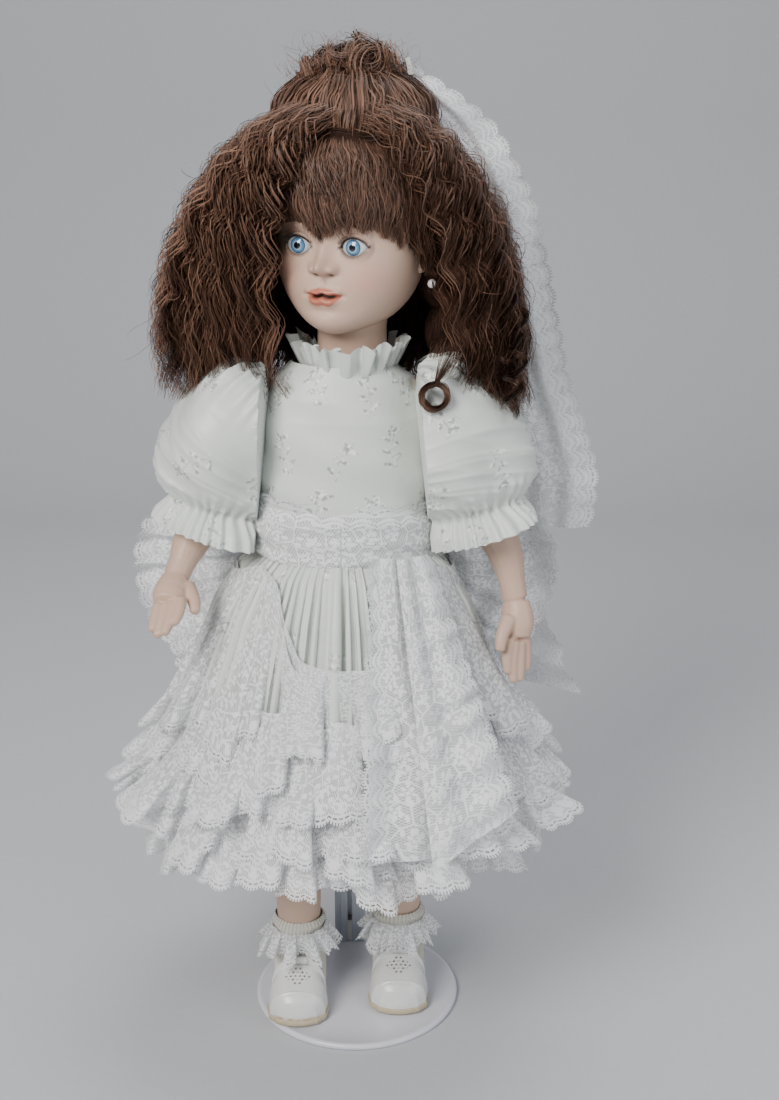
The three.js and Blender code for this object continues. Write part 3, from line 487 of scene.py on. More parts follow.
def leatherette_material():
    """White leatherette. Marks: 'worn' where the edge has yellowed, 'hole' in a perforation or cut-out."""
    shader = Shader("leatherette")
    grain = shader.noise(1400, 3)
    white = shader.mix(shader.noise(45, 4), (0.70, 0.70, 0.68), (0.78, 0.78, 0.77))
    worn = shader.calc("MULTIPLY", shader.mark("worn"), shader.ramp(shader.noise(160, 4), 0.35, 0.65))
    colour = shader.mix(worn, white, (0.42, 0.25, 0.08))
    # Holes and cut-outs are coloured near-black: painted shade seen through them.
    shader.set("Base Color", shader.mix(shader.mark("hole"), colour, (0.03, 0.022, 0.012)))
    shader.set("Roughness", shader.ramp(grain, -0.2, 2.2))
    shader.set("Coat Weight", 0.25)
    shader.set("Coat Roughness", 0.2)
    shader.relief(shader.calc("SUBTRACT", grain, shader.calc("MULTIPLY", shader.mark("hole"), 2.0)), 0.2,
                  0.0003)
    return shader.material


def eye_material():
    """A glass eye: UV is millimetres from the pupil's middle."""
    shader = Shader("glass_eye")
    u, v = shader.uv()
    away = shader.calc("SQRT", shader.calc("ADD", shader.calc("MULTIPLY", u, u),
                                           shader.calc("MULTIPLY", v, v)))
    turn = shader.calc("ARCTAN2", v, u)
    streak = shader.node("ShaderNodeCombineXYZ",
                         {0: shader.calc("MULTIPLY", turn, 9.0), 1: shader.calc("MULTIPLY", away, 0.35)})
    rays = shader.node("ShaderNodeTexNoise",
                       {"Vector": streak.outputs[0], "Scale": 2.2, "Detail": 3}).outputs["Fac"]
    blue = shader.mix(shader.ramp(rays, 0.35, 0.68), (0.030, 0.11, 0.25), (0.17, 0.40, 0.62))
    inner = shader.mix(shader.ramp(away, 1.9, 2.8), (0.34, 0.60, 0.78), blue)
    ring = shader.mix(shader.ramp(away, 3.5, 4.5), inner, (0.015, 0.04, 0.09))
    # The white darkens and warms towards its rim: painted shade where the lids meet it.
    white = shader.mix(shader.ramp(away, 4.6, 9.0), (0.70, 0.72, 0.74), (0.55, 0.52, 0.52))
    iris = shader.mix(shader.ramp(away, 4.45, 4.75), ring, white)
    shader.set("Base Color", shader.mix(shader.ramp(away, 2.05, 1.8), iris, (0.004, 0.004, 0.006)))
    shader.set("Roughness", 0.12)
    shader.set("Coat Weight", 1.0)
    shader.set("Coat Roughness", 0.02)
    return shader.material


def pearl_material():
    shader = Shader("pearl")
    shader.set("Base Color", shader.mix(shader.noise(300, 2), (0.78, 0.74, 0.70), (0.86, 0.84, 0.82)))
    shader.set("Roughness", 0.18)
    shader.set("Coat Weight", 0.8)
    shader.set("Sheen Weight", 0.3)
    return shader.material


def paint_material(name, colour):
    """Fine china-paint strokes."""
    shader = Shader(name)
    shader.set("Base Color", shader.mix(shader.noise(900, 2), colour, tuple(1.7 * c for c in colour)))
    shader.set("Roughness", 0.6)
    return shader.material


# ---- Measures taken from the frame ----

def corners(node):
    low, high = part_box(node)
    return np.array(low), np.array(high)


def middle(node):
    low, high = corners(node)
    return (low + high) / 2


def points_of(node):
    mesh = nodes[node].data
    co = np.zeros(len(mesh.vertices) * 3)
    mesh.vertices.foreach_get("co", co)
    return co.reshape(-1, 3)


SKIRT_LOW, SKIRT_HIGH = corners("skirt")
BODY_X = middle("skirt")[0]
ROUND = (SKIRT_HIGH[1] - SKIRT_LOW[1]) / (SKIRT_HIGH[0] - SKIRT_LOW[0])
WAIST = SKIRT_HIGH[2]
HEM = SKIRT_LOW[2]
SHOULDER_Z = 0.418
HEAD_TURN = math.radians(-21.5)
EYE_LINE = middle("eye_left")[2]
NECK_BASE = corners("head_shell")[0][2]


def skirt_radius(height):
    """The satin skirt's half-width at a height, read off the CAD shell."""
    points = points_of("skirt")
    reach = np.hypot(points[:, 0] - BODY_X, (points[:, 1]) / ROUND)
    levels = np.unique(np.round(points[:, 2], 4))
    widest = [reach[np.abs(points[:, 2] - level) < 2e-4].max() for level in levels]
    return np.interp(height, levels, widest)


# ---- Pattern marks ----

SCALLOP = 14.0  # millimetres from one scallop to the next
SCALLOP_DEPTH = 0.003


def sprigs(u, v, spacing, seed, size=1.0):
    """Woven leaf sprays scattered over a cloth, as 0 to 1. u and v are millimetres."""
    rng = np.random.default_rng(seed)
    mark = np.zeros(u.shape)
    columns = int((u.max() - u.min()) / spacing) + 2
    rows = int((v.max() - v.min()) / spacing) + 2
    for column in range(columns):
        for row in range(rows):
            at = np.array([u.min() + (column + 0.5 * (row % 2)) * spacing, v.min() + row * spacing])
            at += rng.uniform(-0.16, 0.16, 2) * spacing
            lean = rng.uniform(-0.9, 0.9)
            near = np.hypot(u - at[0], v - at[1]) < 16 * size
            if not near.any():
                continue
            along = ((u - at[0]) * math.sin(lean) + (v - at[1]) * math.cos(lean))[near] / size
            across = ((u - at[0]) * math.cos(lean) - (v - at[1]) * math.sin(lean))[near] / size
            spray = np.exp(-((across - 0.02 * along**2) / 0.28) ** 2) * (np.abs(along) < 9) * 0.9
            for k, height in enumerate((-7, -4, -1, 2, 5, 8)):
                way = 1 if k % 2 else -1
                for turn, far in ((0.9, 2.6), (0.35, 4.2)):
                    x = across - way * far * 0.8
                    y = along - height - far * 0.35
                    long = x * math.cos(turn) * way + y * math.sin(turn)
                    short = -x * math.sin(turn) * way + y * math.cos(turn)
                    spray = np.maximum(spray, smoothstep(1.25, 0.8, np.hypot(long / 2.0, short / 0.85)))
            bloom = np.hypot(across, along - 9.5)
            angle = np.arctan2(across, along - 9.5)
            spray = np.maximum(spray, smoothstep(1.1, 0.85, bloom / (2.3 + 0.9 * np.cos(5 * angle))))
            mark[near] = np.maximum(mark[near], spray)
    return mark


def lace_motifs(u, v):
    """The worked scallop bands and fans along a lace edge, as 0 to 1. v is in from the scalloped edge."""
    arc = np.abs(np.sin(u * math.pi / SCALLOP))
    mark = np.zeros(u.shape)
    for offset in (5.0, 7.4):
        mark = np.maximum(mark, 0.95 * (np.abs(v - offset - 2.6 * (1 - arc)) < 0.75))
    fan = (v < 9.5) & (v > 3.9) & (np.abs((u % SCALLOP) - SCALLOP / 2) < 3.6)
    return np.maximum(mark, 0.75 * fan * (0.5 + 0.5 * np.cos(u * 2 * math.pi / 1.6)))


# ---- Lace strips ----

def lace_strip(name, top, hem, out, material, folds, depth_of_fold, seed, rows=1500, columns=34, wander=0.35,
               closed=True, sag=0.0, share_power=1.4):
    """A gathered lace strip from a top line to a hem line. out is the outward direction along it.

    The strip folds in and out along `out`, more towards its hem, and leans over itself at each fold.
    The flat size it returns is worked back from the mesh's area, so it isn't an independent size of the cut.
    """
    rng = np.random.default_rng(seed)
    s = np.linspace(0, 1, rows, endpoint=not closed)
    phase = 2 * math.pi * folds * s + wander * 2.2 * smooth_noise(rows, rows / folds * 1.6, rng)
    tall = 1 + 0.34 * smooth_noise(rows, rows / folds * 1.1, rng)
    t = np.linspace(0, 1, columns)[None, :, None]
    top, hem, out = top(s), hem(s), unit(out(s))
    along = unit(np.gradient(hem, axis=0))
    if closed:
        along = unit(np.roll(hem, -1, axis=0) - np.roll(hem, 1, axis=0))
    grow = 0.10 + 0.90 * t**share_power
    swing = (depth_of_fold * tall * np.cos(phase))[:, None, None]
    lean = (1.05 * depth_of_fold * tall * np.sin(2 * phase + 0.5))[:, None, None]
    line = top[:, None, :] * (1 - t) + hem[:, None, :] * t
    line = line + out[:, None, :] * (swing * grow + sag * np.sin(math.pi * t))
    line = line + along[:, None, :] * lean * grow * 0.55
    ripple = 0.0012 * np.sin(3 * phase)[:, None, None] * t
    line = line + out[:, None, :] * ripple
    steps = np.linalg.norm(np.diff(line[:, -1], axis=0), axis=1)
    run = np.concatenate([[0], np.cumsum(steps)]) / MM
    if closed:
        whole = run[-1] + np.linalg.norm(line[0, -1] - line[-1, -1]) / MM
        repeat = 3 * SCALLOP
        fitted = max(1, round(whole / repeat)) * repeat
        run = run * fitted / whole
    down = unit(hem - top)[:, None, :]
    length = np.linalg.norm(line[:, -1] - line[:, 0], axis=1).mean()
    edge = smoothstep(1 - 0.010 / length, 1, t)
    scallop = SCALLOP_DEPTH * np.abs(np.sin(run * math.pi / SCALLOP)) ** 0.7
    line = line + down * edge * scallop[:, None, None]
    v = np.broadcast_to((1 - t[..., 0]) * length / MM, (rows, columns))
    u = np.broadcast_to(run[:, None], (rows, columns))
    marks = {"motif": lace_motifs(u, v)}
    faces = grid_faces(rows, columns, closed)
    piece = mesh_piece(name, line.reshape(-1, 3), faces, material, np.stack([u.ravel(), v.ravel()], 1), marks)
    mesh_area = area_of(line.reshape(-1, 3), faces)
    strip_length = run[-1] * MM
    return piece, (strip_length, mesh_area / strip_length)


def area_of(points, faces):
    a, b, c, d = (points[faces[:, k]] for k in range(4))
    first = np.linalg.norm(np.cross(b - a, c - a), axis=1)
    return float((first + np.linalg.norm(np.cross(c - a, d - a), axis=1)).sum() / 2)


def mesh_area(piece):
    """A piece's surface in square metres."""
    return sum(face.area for face in piece.data.polygons)


def declare_cloth(piece, body="trunk"):
    """Attach a sewn piece of cloth to a body.

    Its flat length is worked back from the mesh's area, so it isn't an independent size of the cut.
    """
    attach(piece, body)


def ring(radius, height, swell=None):
    """A level ring round the dress as a function of 0..1, starting at the back. height may vary round it."""

    def at(s):
        angle = 2 * math.pi * s + math.pi / 2
        grow = 1 if swell is None else swell(angle)
        z = height(angle) if callable(height) else np.full(s.shape, height)
        return np.stack([BODY_X + radius * grow * np.cos(angle), radius * grow * ROUND * np.sin(angle), z], 1)

    return at


def ring_out(s):
    angle = 2 * math.pi * s + math.pi / 2
    return np.stack([np.cos(angle), np.sin(angle) / ROUND, np.zeros(s.shape)], 1)


def outward(lift=0.0):
    """Directions out from a small level ring as a function of 0..1, leaning up by lift."""

    def at(s):
        turn = 2 * math.pi * s
        return np.stack([np.cos(turn), np.sin(turn), np.full(s.shape, lift)], 1)

    return at


def declare_strip(piece, body="trunk"):
    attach(piece, body)


def make_flounces(lace):
    """Five tiers as the frame has them, each of two lace layers so that the skirt reads as full."""
    for k in range(1, 6):
        node = f"lace_tier_{k}"
        low, high = corners(node)
        widest = (high[0] - low[0]) / 2
        if k == 1:
            widest = skirt_radius(low[2]) + 0.017
        for layer in range(2):
            rng = np.random.default_rng(40 + 2 * k + layer)
            waves = rng.uniform(0, 2 * math.pi, 4)
            lift = 0.010 * layer + (0.008 if k > 3 else 0)

            def uneven(angle, waves=waves, level=low[2] + lift):
                sway = 0.006 * np.sin(2 * angle + waves[0]) + 0.004 * np.sin(5 * angle + waves[1])
                return level + sway + 0.003 * np.sin(9 * angle + waves[2])

            def swell(angle, waves=waves):
                return 1 + 0.035 * np.sin(3 * angle + waves[3]) + 0.02 * np.sin(7 * angle + waves[1])

            start = high[2] + 0.006 * layer
            climb = WAIST - 0.008 - start if k == 1 else 0.0

            def uneven_top(angle, waves=waves, start=start, climb=climb):
                from_front = (angle + 0.5 * math.pi + math.pi) % (2 * math.pi) - math.pi
                rise = climb * smoothstep(0.30, 0.75, np.abs(from_front - 0.06))
                return start + rise + 0.0025 * (np.sin(4 * angle + waves[0]) + 0.6
                                                * np.sin(9 * angle + waves[2]))

            top_radius = skirt_radius(start) + 0.002

            def on_satin(angle, uneven_top=uneven_top, top_radius=top_radius):
                return (skirt_radius(uneven_top(angle)) + 0.002) / top_radius

            fold = 0.0118 - 0.0020 * layer
            hem_radius = widest - fold - 0.001 - 0.010 * layer
            piece, size = lace_strip(
                f"flounce_{k}_{'ab'[layer]}",
                ring(top_radius, uneven_top, on_satin),
                ring(hem_radius, uneven, swell),
                ring_out,
                lace,
                folds=12 + 2 * layer + k,
                depth_of_fold=fold,
                seed=k * 10 + layer,
            )
            if layer == 0:
                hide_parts(node)
            declare_strip(piece)


def make_skirt(satin, organza):
    """The gathered satin skirt and the petticoat under it."""
    rows, columns = 900, 60
    s = np.linspace(0, 1, rows, endpoint=False)
    angle = 2 * math.pi * s + math.pi / 2
    rng = np.random.default_rng(7)
    folds = 70
    phase = folds * 2 * math.pi * s + 3.2 * smooth_noise(rows, rows / folds * 2.2, rng)
    tall = 1 + 0.4 * smooth_noise(rows, rows / folds, rng)
    heights = WAIST + (HEM - WAIST) * np.linspace(0, 1, columns) ** 1.1
    drop = (WAIST - heights) / (WAIST - HEM)
    depth = 0.0013 + 0.0021 * np.minimum(1, drop * 5)
    radius = skirt_radius(heights)[None, :] - depth - 0.0005
    fine = 0.45 * np.sin(2.7 * phase + 3 * smooth_noise(rows, rows / 20, rng))
    wave = (tall * np.cos(phase) + fine)[:, None] * depth[None, :]
    reach = radius + wave
    lean = (tall * np.sin(2 * phase))[:, None] * depth[None, :] * 0.3 / radius
    turn = angle[:, None] + lean
    z = np.broadcast_to(heights, reach.shape)
    points = np.stack([BODY_X + reach * np.cos(turn), reach * ROUND * np.sin(turn), z], 2)
    u = np.broadcast_to(s[:, None] * 900, reach.shape)
    v = np.broadcast_to((WAIST - heights) / MM * 1.2, reach.shape)
    marks = {"sprig": sprigs(u, v, 52, 5)}
    faces = grid_faces(rows, columns, True)
    points = points.reshape(-1, 3)
    skirt = mesh_piece("satin_skirt", points, faces, satin, np.stack([u.ravel(), v.ravel()], 1), marks)
    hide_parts("skirt")
    declare_strip(skirt)

    low, high = corners("petticoat")
    widest = (high[0] - low[0]) / 2
    piece, size = lace_strip(
        "petticoat_net",
        ring(skirt_radius(high[2]) - 0.008, high[2]),
        ring(widest - 0.006, low[2] + 0.003),
        ring_out,
        organza,
        folds=30,
        depth_of_fold=0.003,
        seed=99,
        rows=700,
        columns=20,
    )
    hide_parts("petticoat")
    declare_strip(piece)


# ---- Bodice, collar, sash ----

def make_bodice(satin):
    rows, columns = 420, 150
    angle = np.linspace(0, 2 * math.pi, rows, endpoint=False) - math.pi / 2
    low, high = corners("bodice")
    heights = np.linspace(low[2], high[2] + 0.004, columns)
    share = (heights - low[2]) / (high[2] - low[2])
    half_depth = (high[1] - low[1]) / 2
    waist = (high[0] - low[0]) / 2
    wide = np.interp(share, [0, 0.3, 0.55, 0.75, 0.86, 0.95, 1.04],
                     [waist, 0.0518, 0.0512, 0.0488, 0.0458, 0.0408, 0.0285])
    deep = np.interp(share, [0, 0.3, 0.55, 0.75, 0.86, 0.95, 1.04],
                     [half_depth, 0.0405, 0.040, 0.0380, 0.0345, 0.0300, 0.0265])
    puckers = 0.0007 * np.cos(34 * angle)[:, None] * np.exp(-share * 7)[None, :]
    pulls = 0.0011 * np.sin(5 * angle + 1)[:, None] * np.sin(share * 9 + 1)[None, :]
    drag = 0.0009 * np.sin(share[None, :] * 22 + 3 * angle[:, None])
    reach = 1 + (puckers + pulls + drag) / waist
    x = middle("bodice")[0] + wide * reach * np.cos(angle)[:, None]
    y = deep * reach * np.sin(angle)[:, None]
    z = np.broadcast_to(heights, x.shape)
    u = np.broadcast_to((angle * 47)[:, None], x.shape)
    v = np.broadcast_to(heights / MM, x.shape)
    marks = {"sprig": sprigs(u, v, 33, 11, 1.25)}
    points = np.stack([x, y, z], 2).reshape(-1, 3)
    piece = mesh_piece("satin_bodice", points, grid_faces(rows, columns, True), satin,
                       np.stack([u.ravel(), v.ravel()], 1), marks)
    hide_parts("bodice")
    declare_cloth(piece)

    low, high = corners("collar_ruffle")
    at = middle("collar_ruffle")
    outer = (high[0] - low[0]) / 2

    def circle(radius, height, wobble=0.0):
        def place(s):
            turn = 2 * math.pi * s
            z = height + wobble * np.sin(13 * turn) + 0.6 * wobble * np.sin(5 * turn)
            grow = radius * (1 + 0.04 * np.sin(3 * turn))
            return np.stack([at[0] + grow * np.cos(turn), at[1] + grow * np.sin(turn), z], 1)
        return place

    ruffle, size = lace_strip(
        "collar_frill", circle(0.0262, low[2] - 0.003), circle(outer - 0.003, high[2] + 0.001, 0.0016),
        outward(0.2), satin,
        folds=15, depth_of_fold=0.0032, seed=21, rows=900, columns=16, wander=0.5, share_power=0.7,
    )
    ruffle.data.attributes.remove(ruffle.data.attributes["motif"])
    blank = ruffle.data.attributes.new("sprig", "FLOAT", "POINT")
    blank.data.foreach_set("value", np.zeros(len(ruffle.data.vertices), np.float32))
    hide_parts("collar_ruffle")
    declare_strip(ruffle)


def make_sash(satin, lace):
    """The satin band and the lace laid over it."""
    low, high = corners("sash")
    bottom = low[2] - 0.004
    rows, columns = 420, 60
    angle = np.linspace(0, 2 * math.pi, rows, endpoint=False) - math.pi / 2
    share = np.linspace(0, 1, columns)
    wide = (high[0] - low[0]) / 2
    deep = (high[1] - low[1]) / 2
    creases = sum(
        0.0008 * np.sin(2 * math.pi * (k + 1) * share[None, :] + 1.4 * np.sin(angle[:, None] * (k + 1) + k))
        for k in range(3)
    )
    belly = 0.0012 * np.sin(math.pi * share)[None, :]
    lift = -0.004 * np.cos(angle)[:, None]
    for name, material, proud in (("satin_sash", satin, 0.0), ("lace_sash", lace, 0.0012)):
        reach = creases + belly - 0.001 + proud
        taper = np.interp(share, [0, 1], [0.0, -0.0015])[None, :]
        x = middle("sash")[0] + (wide + reach + taper) * np.cos(angle)[:, None]
        y = (deep + reach + taper) * np.sin(angle)[:, None]
        top = high[2] + 0.002 if name == "lace_sash" else high[2] - 0.002
        z = bottom + (top - bottom) * share[None, :] + lift
        z = np.broadcast_to(z, x.shape)
        u = np.broadcast_to(np.round((angle / (2 * math.pi) + 0.25)[:, None] * 294 + 80, 3), x.shape)
        v = np.broadcast_to((1 - share[None, :]) * (top - bottom) / MM, x.shape)
        if name == "lace_sash":
            z = z + np.where(share[None, :] > 0.9, 1,
                             0) * 0.0022 * np.abs(np.sin(u * math.pi / SCALLOP)) ** 0.7
        points = np.stack([x, y, z], 2).reshape(-1, 3)
        marks = {"sprig": sprigs(u, v, 30, 12), "motif": lace_motifs(u, v)}
        piece = mesh_piece(name, points, grid_faces(rows, columns, True), material,
                           np.stack([u.ravel(), v.ravel()], 1), marks)
        if name == "satin_sash":
            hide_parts("sash")
        declare_cloth(piece)


# ---- Sleeves ----

def make_sleeve(side, satin):
    sign = SIDES[side]
    low, high = corners(f"sleeve_{side}")
    rows, columns = 300, 150
    start = np.array([middle("torso")[0] + sign * 0.036, 0.0, high[2] - 0.014])
    end = np.array([(low[0] + high[0]) / 2 + sign * 0.001, -0.011, low[2] + 0.018])
    line = curve_through([start, (start + end) / 2 + np.array([sign * 0.007, 0, 0.004]), end], columns)
    _, across, front = frames_along(line)
    share = np.linspace(0, 1, columns)
    knots = [0, 0.05, 0.14, 0.30, 0.45, 0.62, 0.75, 0.81, 0.845, 0.88, 0.94, 1.0]
    radii = [0.018, 0.031, 0.0385, 0.0425, 0.0430, 0.0410, 0.0355, 0.0270, 0.0240, 0.0268, 0.0310, 0.0325]
    radius = np.interp(share, knots, radii)
    radius = np.convolve(np.pad(radius, 2, mode="edge"), np.ones(5) / 5, mode="valid")
    angle = np.linspace(0, 2 * math.pi, rows, endpoint=False)
    rng = np.random.default_rng(60 + (sign > 0))
    gathers = 26
    phase = gathers * angle + 1.3 * smooth_noise(rows, rows / gathers * 1.5, rng)
    near_top = np.exp(-((share - 0.04) / 0.16) ** 2)
    near_cuff = np.exp(-((share - 0.845) / 0.085) ** 2)
    cuff_flare = smoothstep(0.86, 1.0, share)
    pleat = np.cos(phase)[:, None] * (0.0024 * near_top + 0.0018 * near_cuff + 0.0017 * cuff_flare)[None, :]
    slow = 0.0028 * np.sin(3 * angle + 2.0)[:, None] * np.sin(math.pi * share)[None, :]
    crease = 0.0016 * np.sin(5 * angle[:, None] + 9 * share[None, :]) * np.sin(math.pi * share)[None, :]
    for bend, across_count, lean in ((23, 2, 0.4), (31, 3, 1.9), (17, 4, 3.1)):
        ridge = np.sin(bend * share[None, :] + across_count * angle[:, None] + lean)
        lower_part = smoothstep(0.25, 0.6, share)[None, :] * (share < 0.82)
        crease = crease + 0.0011 * (1 - np.abs(ridge)) ** 2 * lower_part
    slump = 0.003 * np.sin(2 * angle[:, None] - 6 * share[None, :]) * smoothstep(0.2, 0.7, share)[None, :]
    reach = radius[None, :] + pleat + slow + crease + slump
    points = (
        line[None]
        + across[None] * (reach * np.cos(angle)[:, None])[..., None]
        + front[None] * (reach * np.sin(angle)[:, None])[..., None]
    )
    seam = middle("torso")[0] + sign * (0.0418 + 0.115
                                        * np.hypot(points[..., 1], points[..., 2] - SHOULDER_Z))
    points[..., 0] = np.where(sign * points[..., 0] < sign * seam, seam, points[..., 0])
    u = np.broadcast_to((angle * 38)[:, None], reach.shape)
    v = np.broadcast_to(share * 125, reach.shape)
    marks = {"sprig": sprigs(u, v, 38, 70 + (sign > 0), 1.25)}
    points = points.reshape(-1, 3)
    piece = mesh_piece(f"puff_sleeve_{side}", points, grid_faces(rows, columns, True), satin,
                       np.stack([u.ravel(), v.ravel()], 1), marks)
    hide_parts(f"sleeve_{side}")
    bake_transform(piece)


# ---- Stand ----

def make_stand(coat, steel, vinyl):
    radius, _, top = corners("stand_base")[1]
    profile = [(0.0, 0.0), (radius - 0.0015, 0.0), (radius - 0.0003, 0.0006), (radius, 0.0016),
               (radius, top - 0.0014),
               (radius - 0.0004, top - 0.0005), (radius - 0.0014, top), (radius - 0.0030, top),
               (radius - 0.0036, top - 0.0003), (radius - 0.02, top - 0.0003), (0.0, top - 0.0003)]
    base = lathe_piece("painted_base", profile, coat, 192)
    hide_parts("stand_base")
    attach(base, "stand")
    for node in ("post_screw", "stand_post", "stand_rod", "clip_hub", "clip_arm_right", "clip_arm_left"):
        dress_node(node, steel)
    for node in ("post_plug", "clip_tip_right", "clip_tip_left", "pate", "veil_comb"):
        dress_node(node, vinyl)


def dress_node(node, material):
    nodes[node].data.materials.clear()
    nodes[node].data.materials.append(material)


def lathe_piece(name, profile, material, sides, centre=(0, 0), squeeze=1.0, marks=None):
    profile = np.array(profile)
    turn = np.linspace(0, 2 * math.pi, sides, endpoint=False)
    x = centre[0] + profile[None, :, 0] * np.cos(turn)[:, None]
    y = centre[1] + profile[None, :, 0] * squeeze * np.sin(turn)[:, None]
    z = np.broadcast_to(profile[None, :, 1], x.shape)
    u = np.broadcast_to((turn * profile[:, 0].max() / MM)[:, None], x.shape)
    run = np.concatenate([[0], np.cumsum(np.linalg.norm(np.diff(profile, axis=0), axis=1))]) / MM
    v = np.broadcast_to(run, x.shape)
    points = np.stack([x, y, z], 2).reshape(-1, 3)
    piece = mesh_piece(name, points, grid_faces(sides, len(profile), True), material,
                       np.stack([u.ravel(), v.ravel()], 1), marks)
    weld = piece.modifiers.new("weld", "WELD")
    weld.merge_threshold = 1e-6
    return piece


def tube(line, radii, sides, up=(0, -1, 0), flat=1.0):
    """Points of a round tube along a line, as an array of rings."""
    _, across, front = frames_along(line, up)
    turn = np.linspace(0, 2 * math.pi, sides, endpoint=False)
    radii = np.asarray(radii)[:, None, None]
    ring_x = across[:, None, :] * np.cos(turn)[None, :, None] * flat
    ring_y = front[:, None, :] * np.sin(turn)[None, :, None]
    return line[:, None, :] + radii * (ring_x + ring_y)


# ---- Head ----

# Millimetres from the eye line, up the face: height, half-width, reach forward and reach back
FACE_RINGS = [
    (-52, 1, 20, 4), (-50, 10, 30, 12), (-46, 20, 36.5, 20), (-40, 28, 39.5, 27), (-31, 35.5, 40, 34),
    (-20, 40.5, 40, 40), (-9, 43, 39.5, 44), (2, 43, 39, 46), (14, 42.5, 40.5, 46.5), (25, 40, 38, 44),
    (36, 34, 31.5, 38), (45, 24, 21, 27), (50, 12, 10, 14), (52, 1, 1, 1),
]
EYE_X = 16.75
EYE_REACH = 29.0
EYE_BALL = 9.3
SQUARE = 2.15  # roundness of the head's level sections


def face_profile(count):
    rings = np.array(FACE_RINGS, float)
    line = curve_through(rings[:, [1, 2, 0]], count)
    back = np.interp(line[:, 2], rings[:, 0], rings[:, 3])
    return line[:, 2], line[:, 0], line[:, 1], back


def eye_edges(x):
    """Upper and lower edge of an eye's opening, for x from the eye's middle. Outwards is positive."""
    curve = np.clip(1 - (x / 7.9) ** 2, 0, 1)
    tilt = 0.05 * x
    return 4.9 * curve**0.75 + tilt, -4.4 * curve**0.8 + tilt


def mouth_line(x):
    bow = 0.5 * np.cos(x * 0.75) * np.exp(-((x / 5) ** 2))
    return -27.0 + bow - 0.6 * (x / 11) ** 2 + 1.0 * (x / 11) ** 4


def features(x, z):
    """How far the face stands out from the plain head at each place, and the masks that are painted on it."""
    out = 2.6 * bump(np.abs(x), z, (23, -17), (12, 12))
    out -= 2.4 * bump(np.abs(x), z, (15, 3), (9, 6))
    out += 1.3 * bump(np.abs(x), z, (15, 12), (11, 4.5))
    slope = smoothstep(8, -9, z)
    under = smoothstep(-16.4, -13.2, z)
    out += np.exp(-((x / 3.9) ** 2)) * (0.8 + 5.2 * slope) * under * smoothstep(14, 4, z)
    out += 5.2 * bump(x, z, (0, -10.3), (4.6, 3.9)) * under
    out += 4.6 * bump(np.abs(x), z, (6.3, -12.0), (2.6, 2.9)) * smoothstep(-15.8, -13.6, z)
    out -= 1.0 * bump(np.abs(x), z, (9.6, -13.0), (1.4, 3.0))
    out -= 2.0 * bump(np.abs(x), z, (4.4, -15.2), (1.7, 0.9))
    out += 2.4 * bump(x, z, (0, -26), (13, 9))
    out -= 0.7 * bump(x, z, (0, -19.5), (1.6, 2.6))
    parting = mouth_line(x)
    fade = smoothstep(12.5, 8, np.abs(x))
    out += 1.9 * np.exp(-(((z - parting - 2.4) / 1.9) ** 2)) * fade
    out += 2.7 * np.exp(-(((z - parting + 2.9) / 2.2) ** 2)) * smoothstep(11, 5, np.abs(x))
    out -= 3.2 * np.exp(-(((z - parting) / 1.1) ** 2)) * fade
    out -= 0.9 * bump(np.abs(x), z, (11.8, -27), (1.6, 1.6))
    out -= 1.3 * bump(x, z, (0, -36), (9, 2.3))
    out += 2.9 * bump(x, z, (0, -42), (10, 6))

    top = parting + 4.9 - 1.0 * np.exp(-((x / 1.6) ** 2)) - 4.9 * (np.abs(x) / 11.4) ** 2.2
    bottom = parting - 5.8 + 5.8 * (np.abs(x) / 10.6) ** 2.6
    lips = smoothstep(-0.35, 0.35, top - z) * smoothstep(-0.35, 0.35, z - bottom) * (np.abs(x) < 11.4)
    # gap and nostril make the mark 'dark': painted shade in the parting of the lips and in the nostril
    # hollows.
    gap = np.exp(-(((z - parting) / 1.05) ** 4)) * smoothstep(8.6, 5.6, np.abs(x))
    nostril = np.exp(-(((np.abs(x) - 4.6) / 1.7) ** 2) - ((z + 15.0) / 0.8) ** 2)
    blush = 0.75 * bump(np.abs(x), z, (24, -17), (10, 9)) + 0.35 * bump(x, z, (0, -11), (6, 4))
    blush = blush + 0.3 * bump(x, z, (0, -44), (8, 5)) + 0.25 * bump(np.abs(x), z, (17, 9), (9, 3))
    shadow = 0.30 * bump(np.abs(x), z, (9.2, -13), (1.3, 2.8)) + 0.25 * bump(x, z, (0, -34.5), (7, 1.4))
    shadow = shadow + 0.35 * np.exp(-(((z - parting) / 1.6) ** 2)) * bump(np.abs(x), z, (11.5, -27), (1.6, 2))
    return out, {"lips": lips, "dark": np.maximum(gap, nostril * 0.75), "blush": blush, "shadow": shadow}


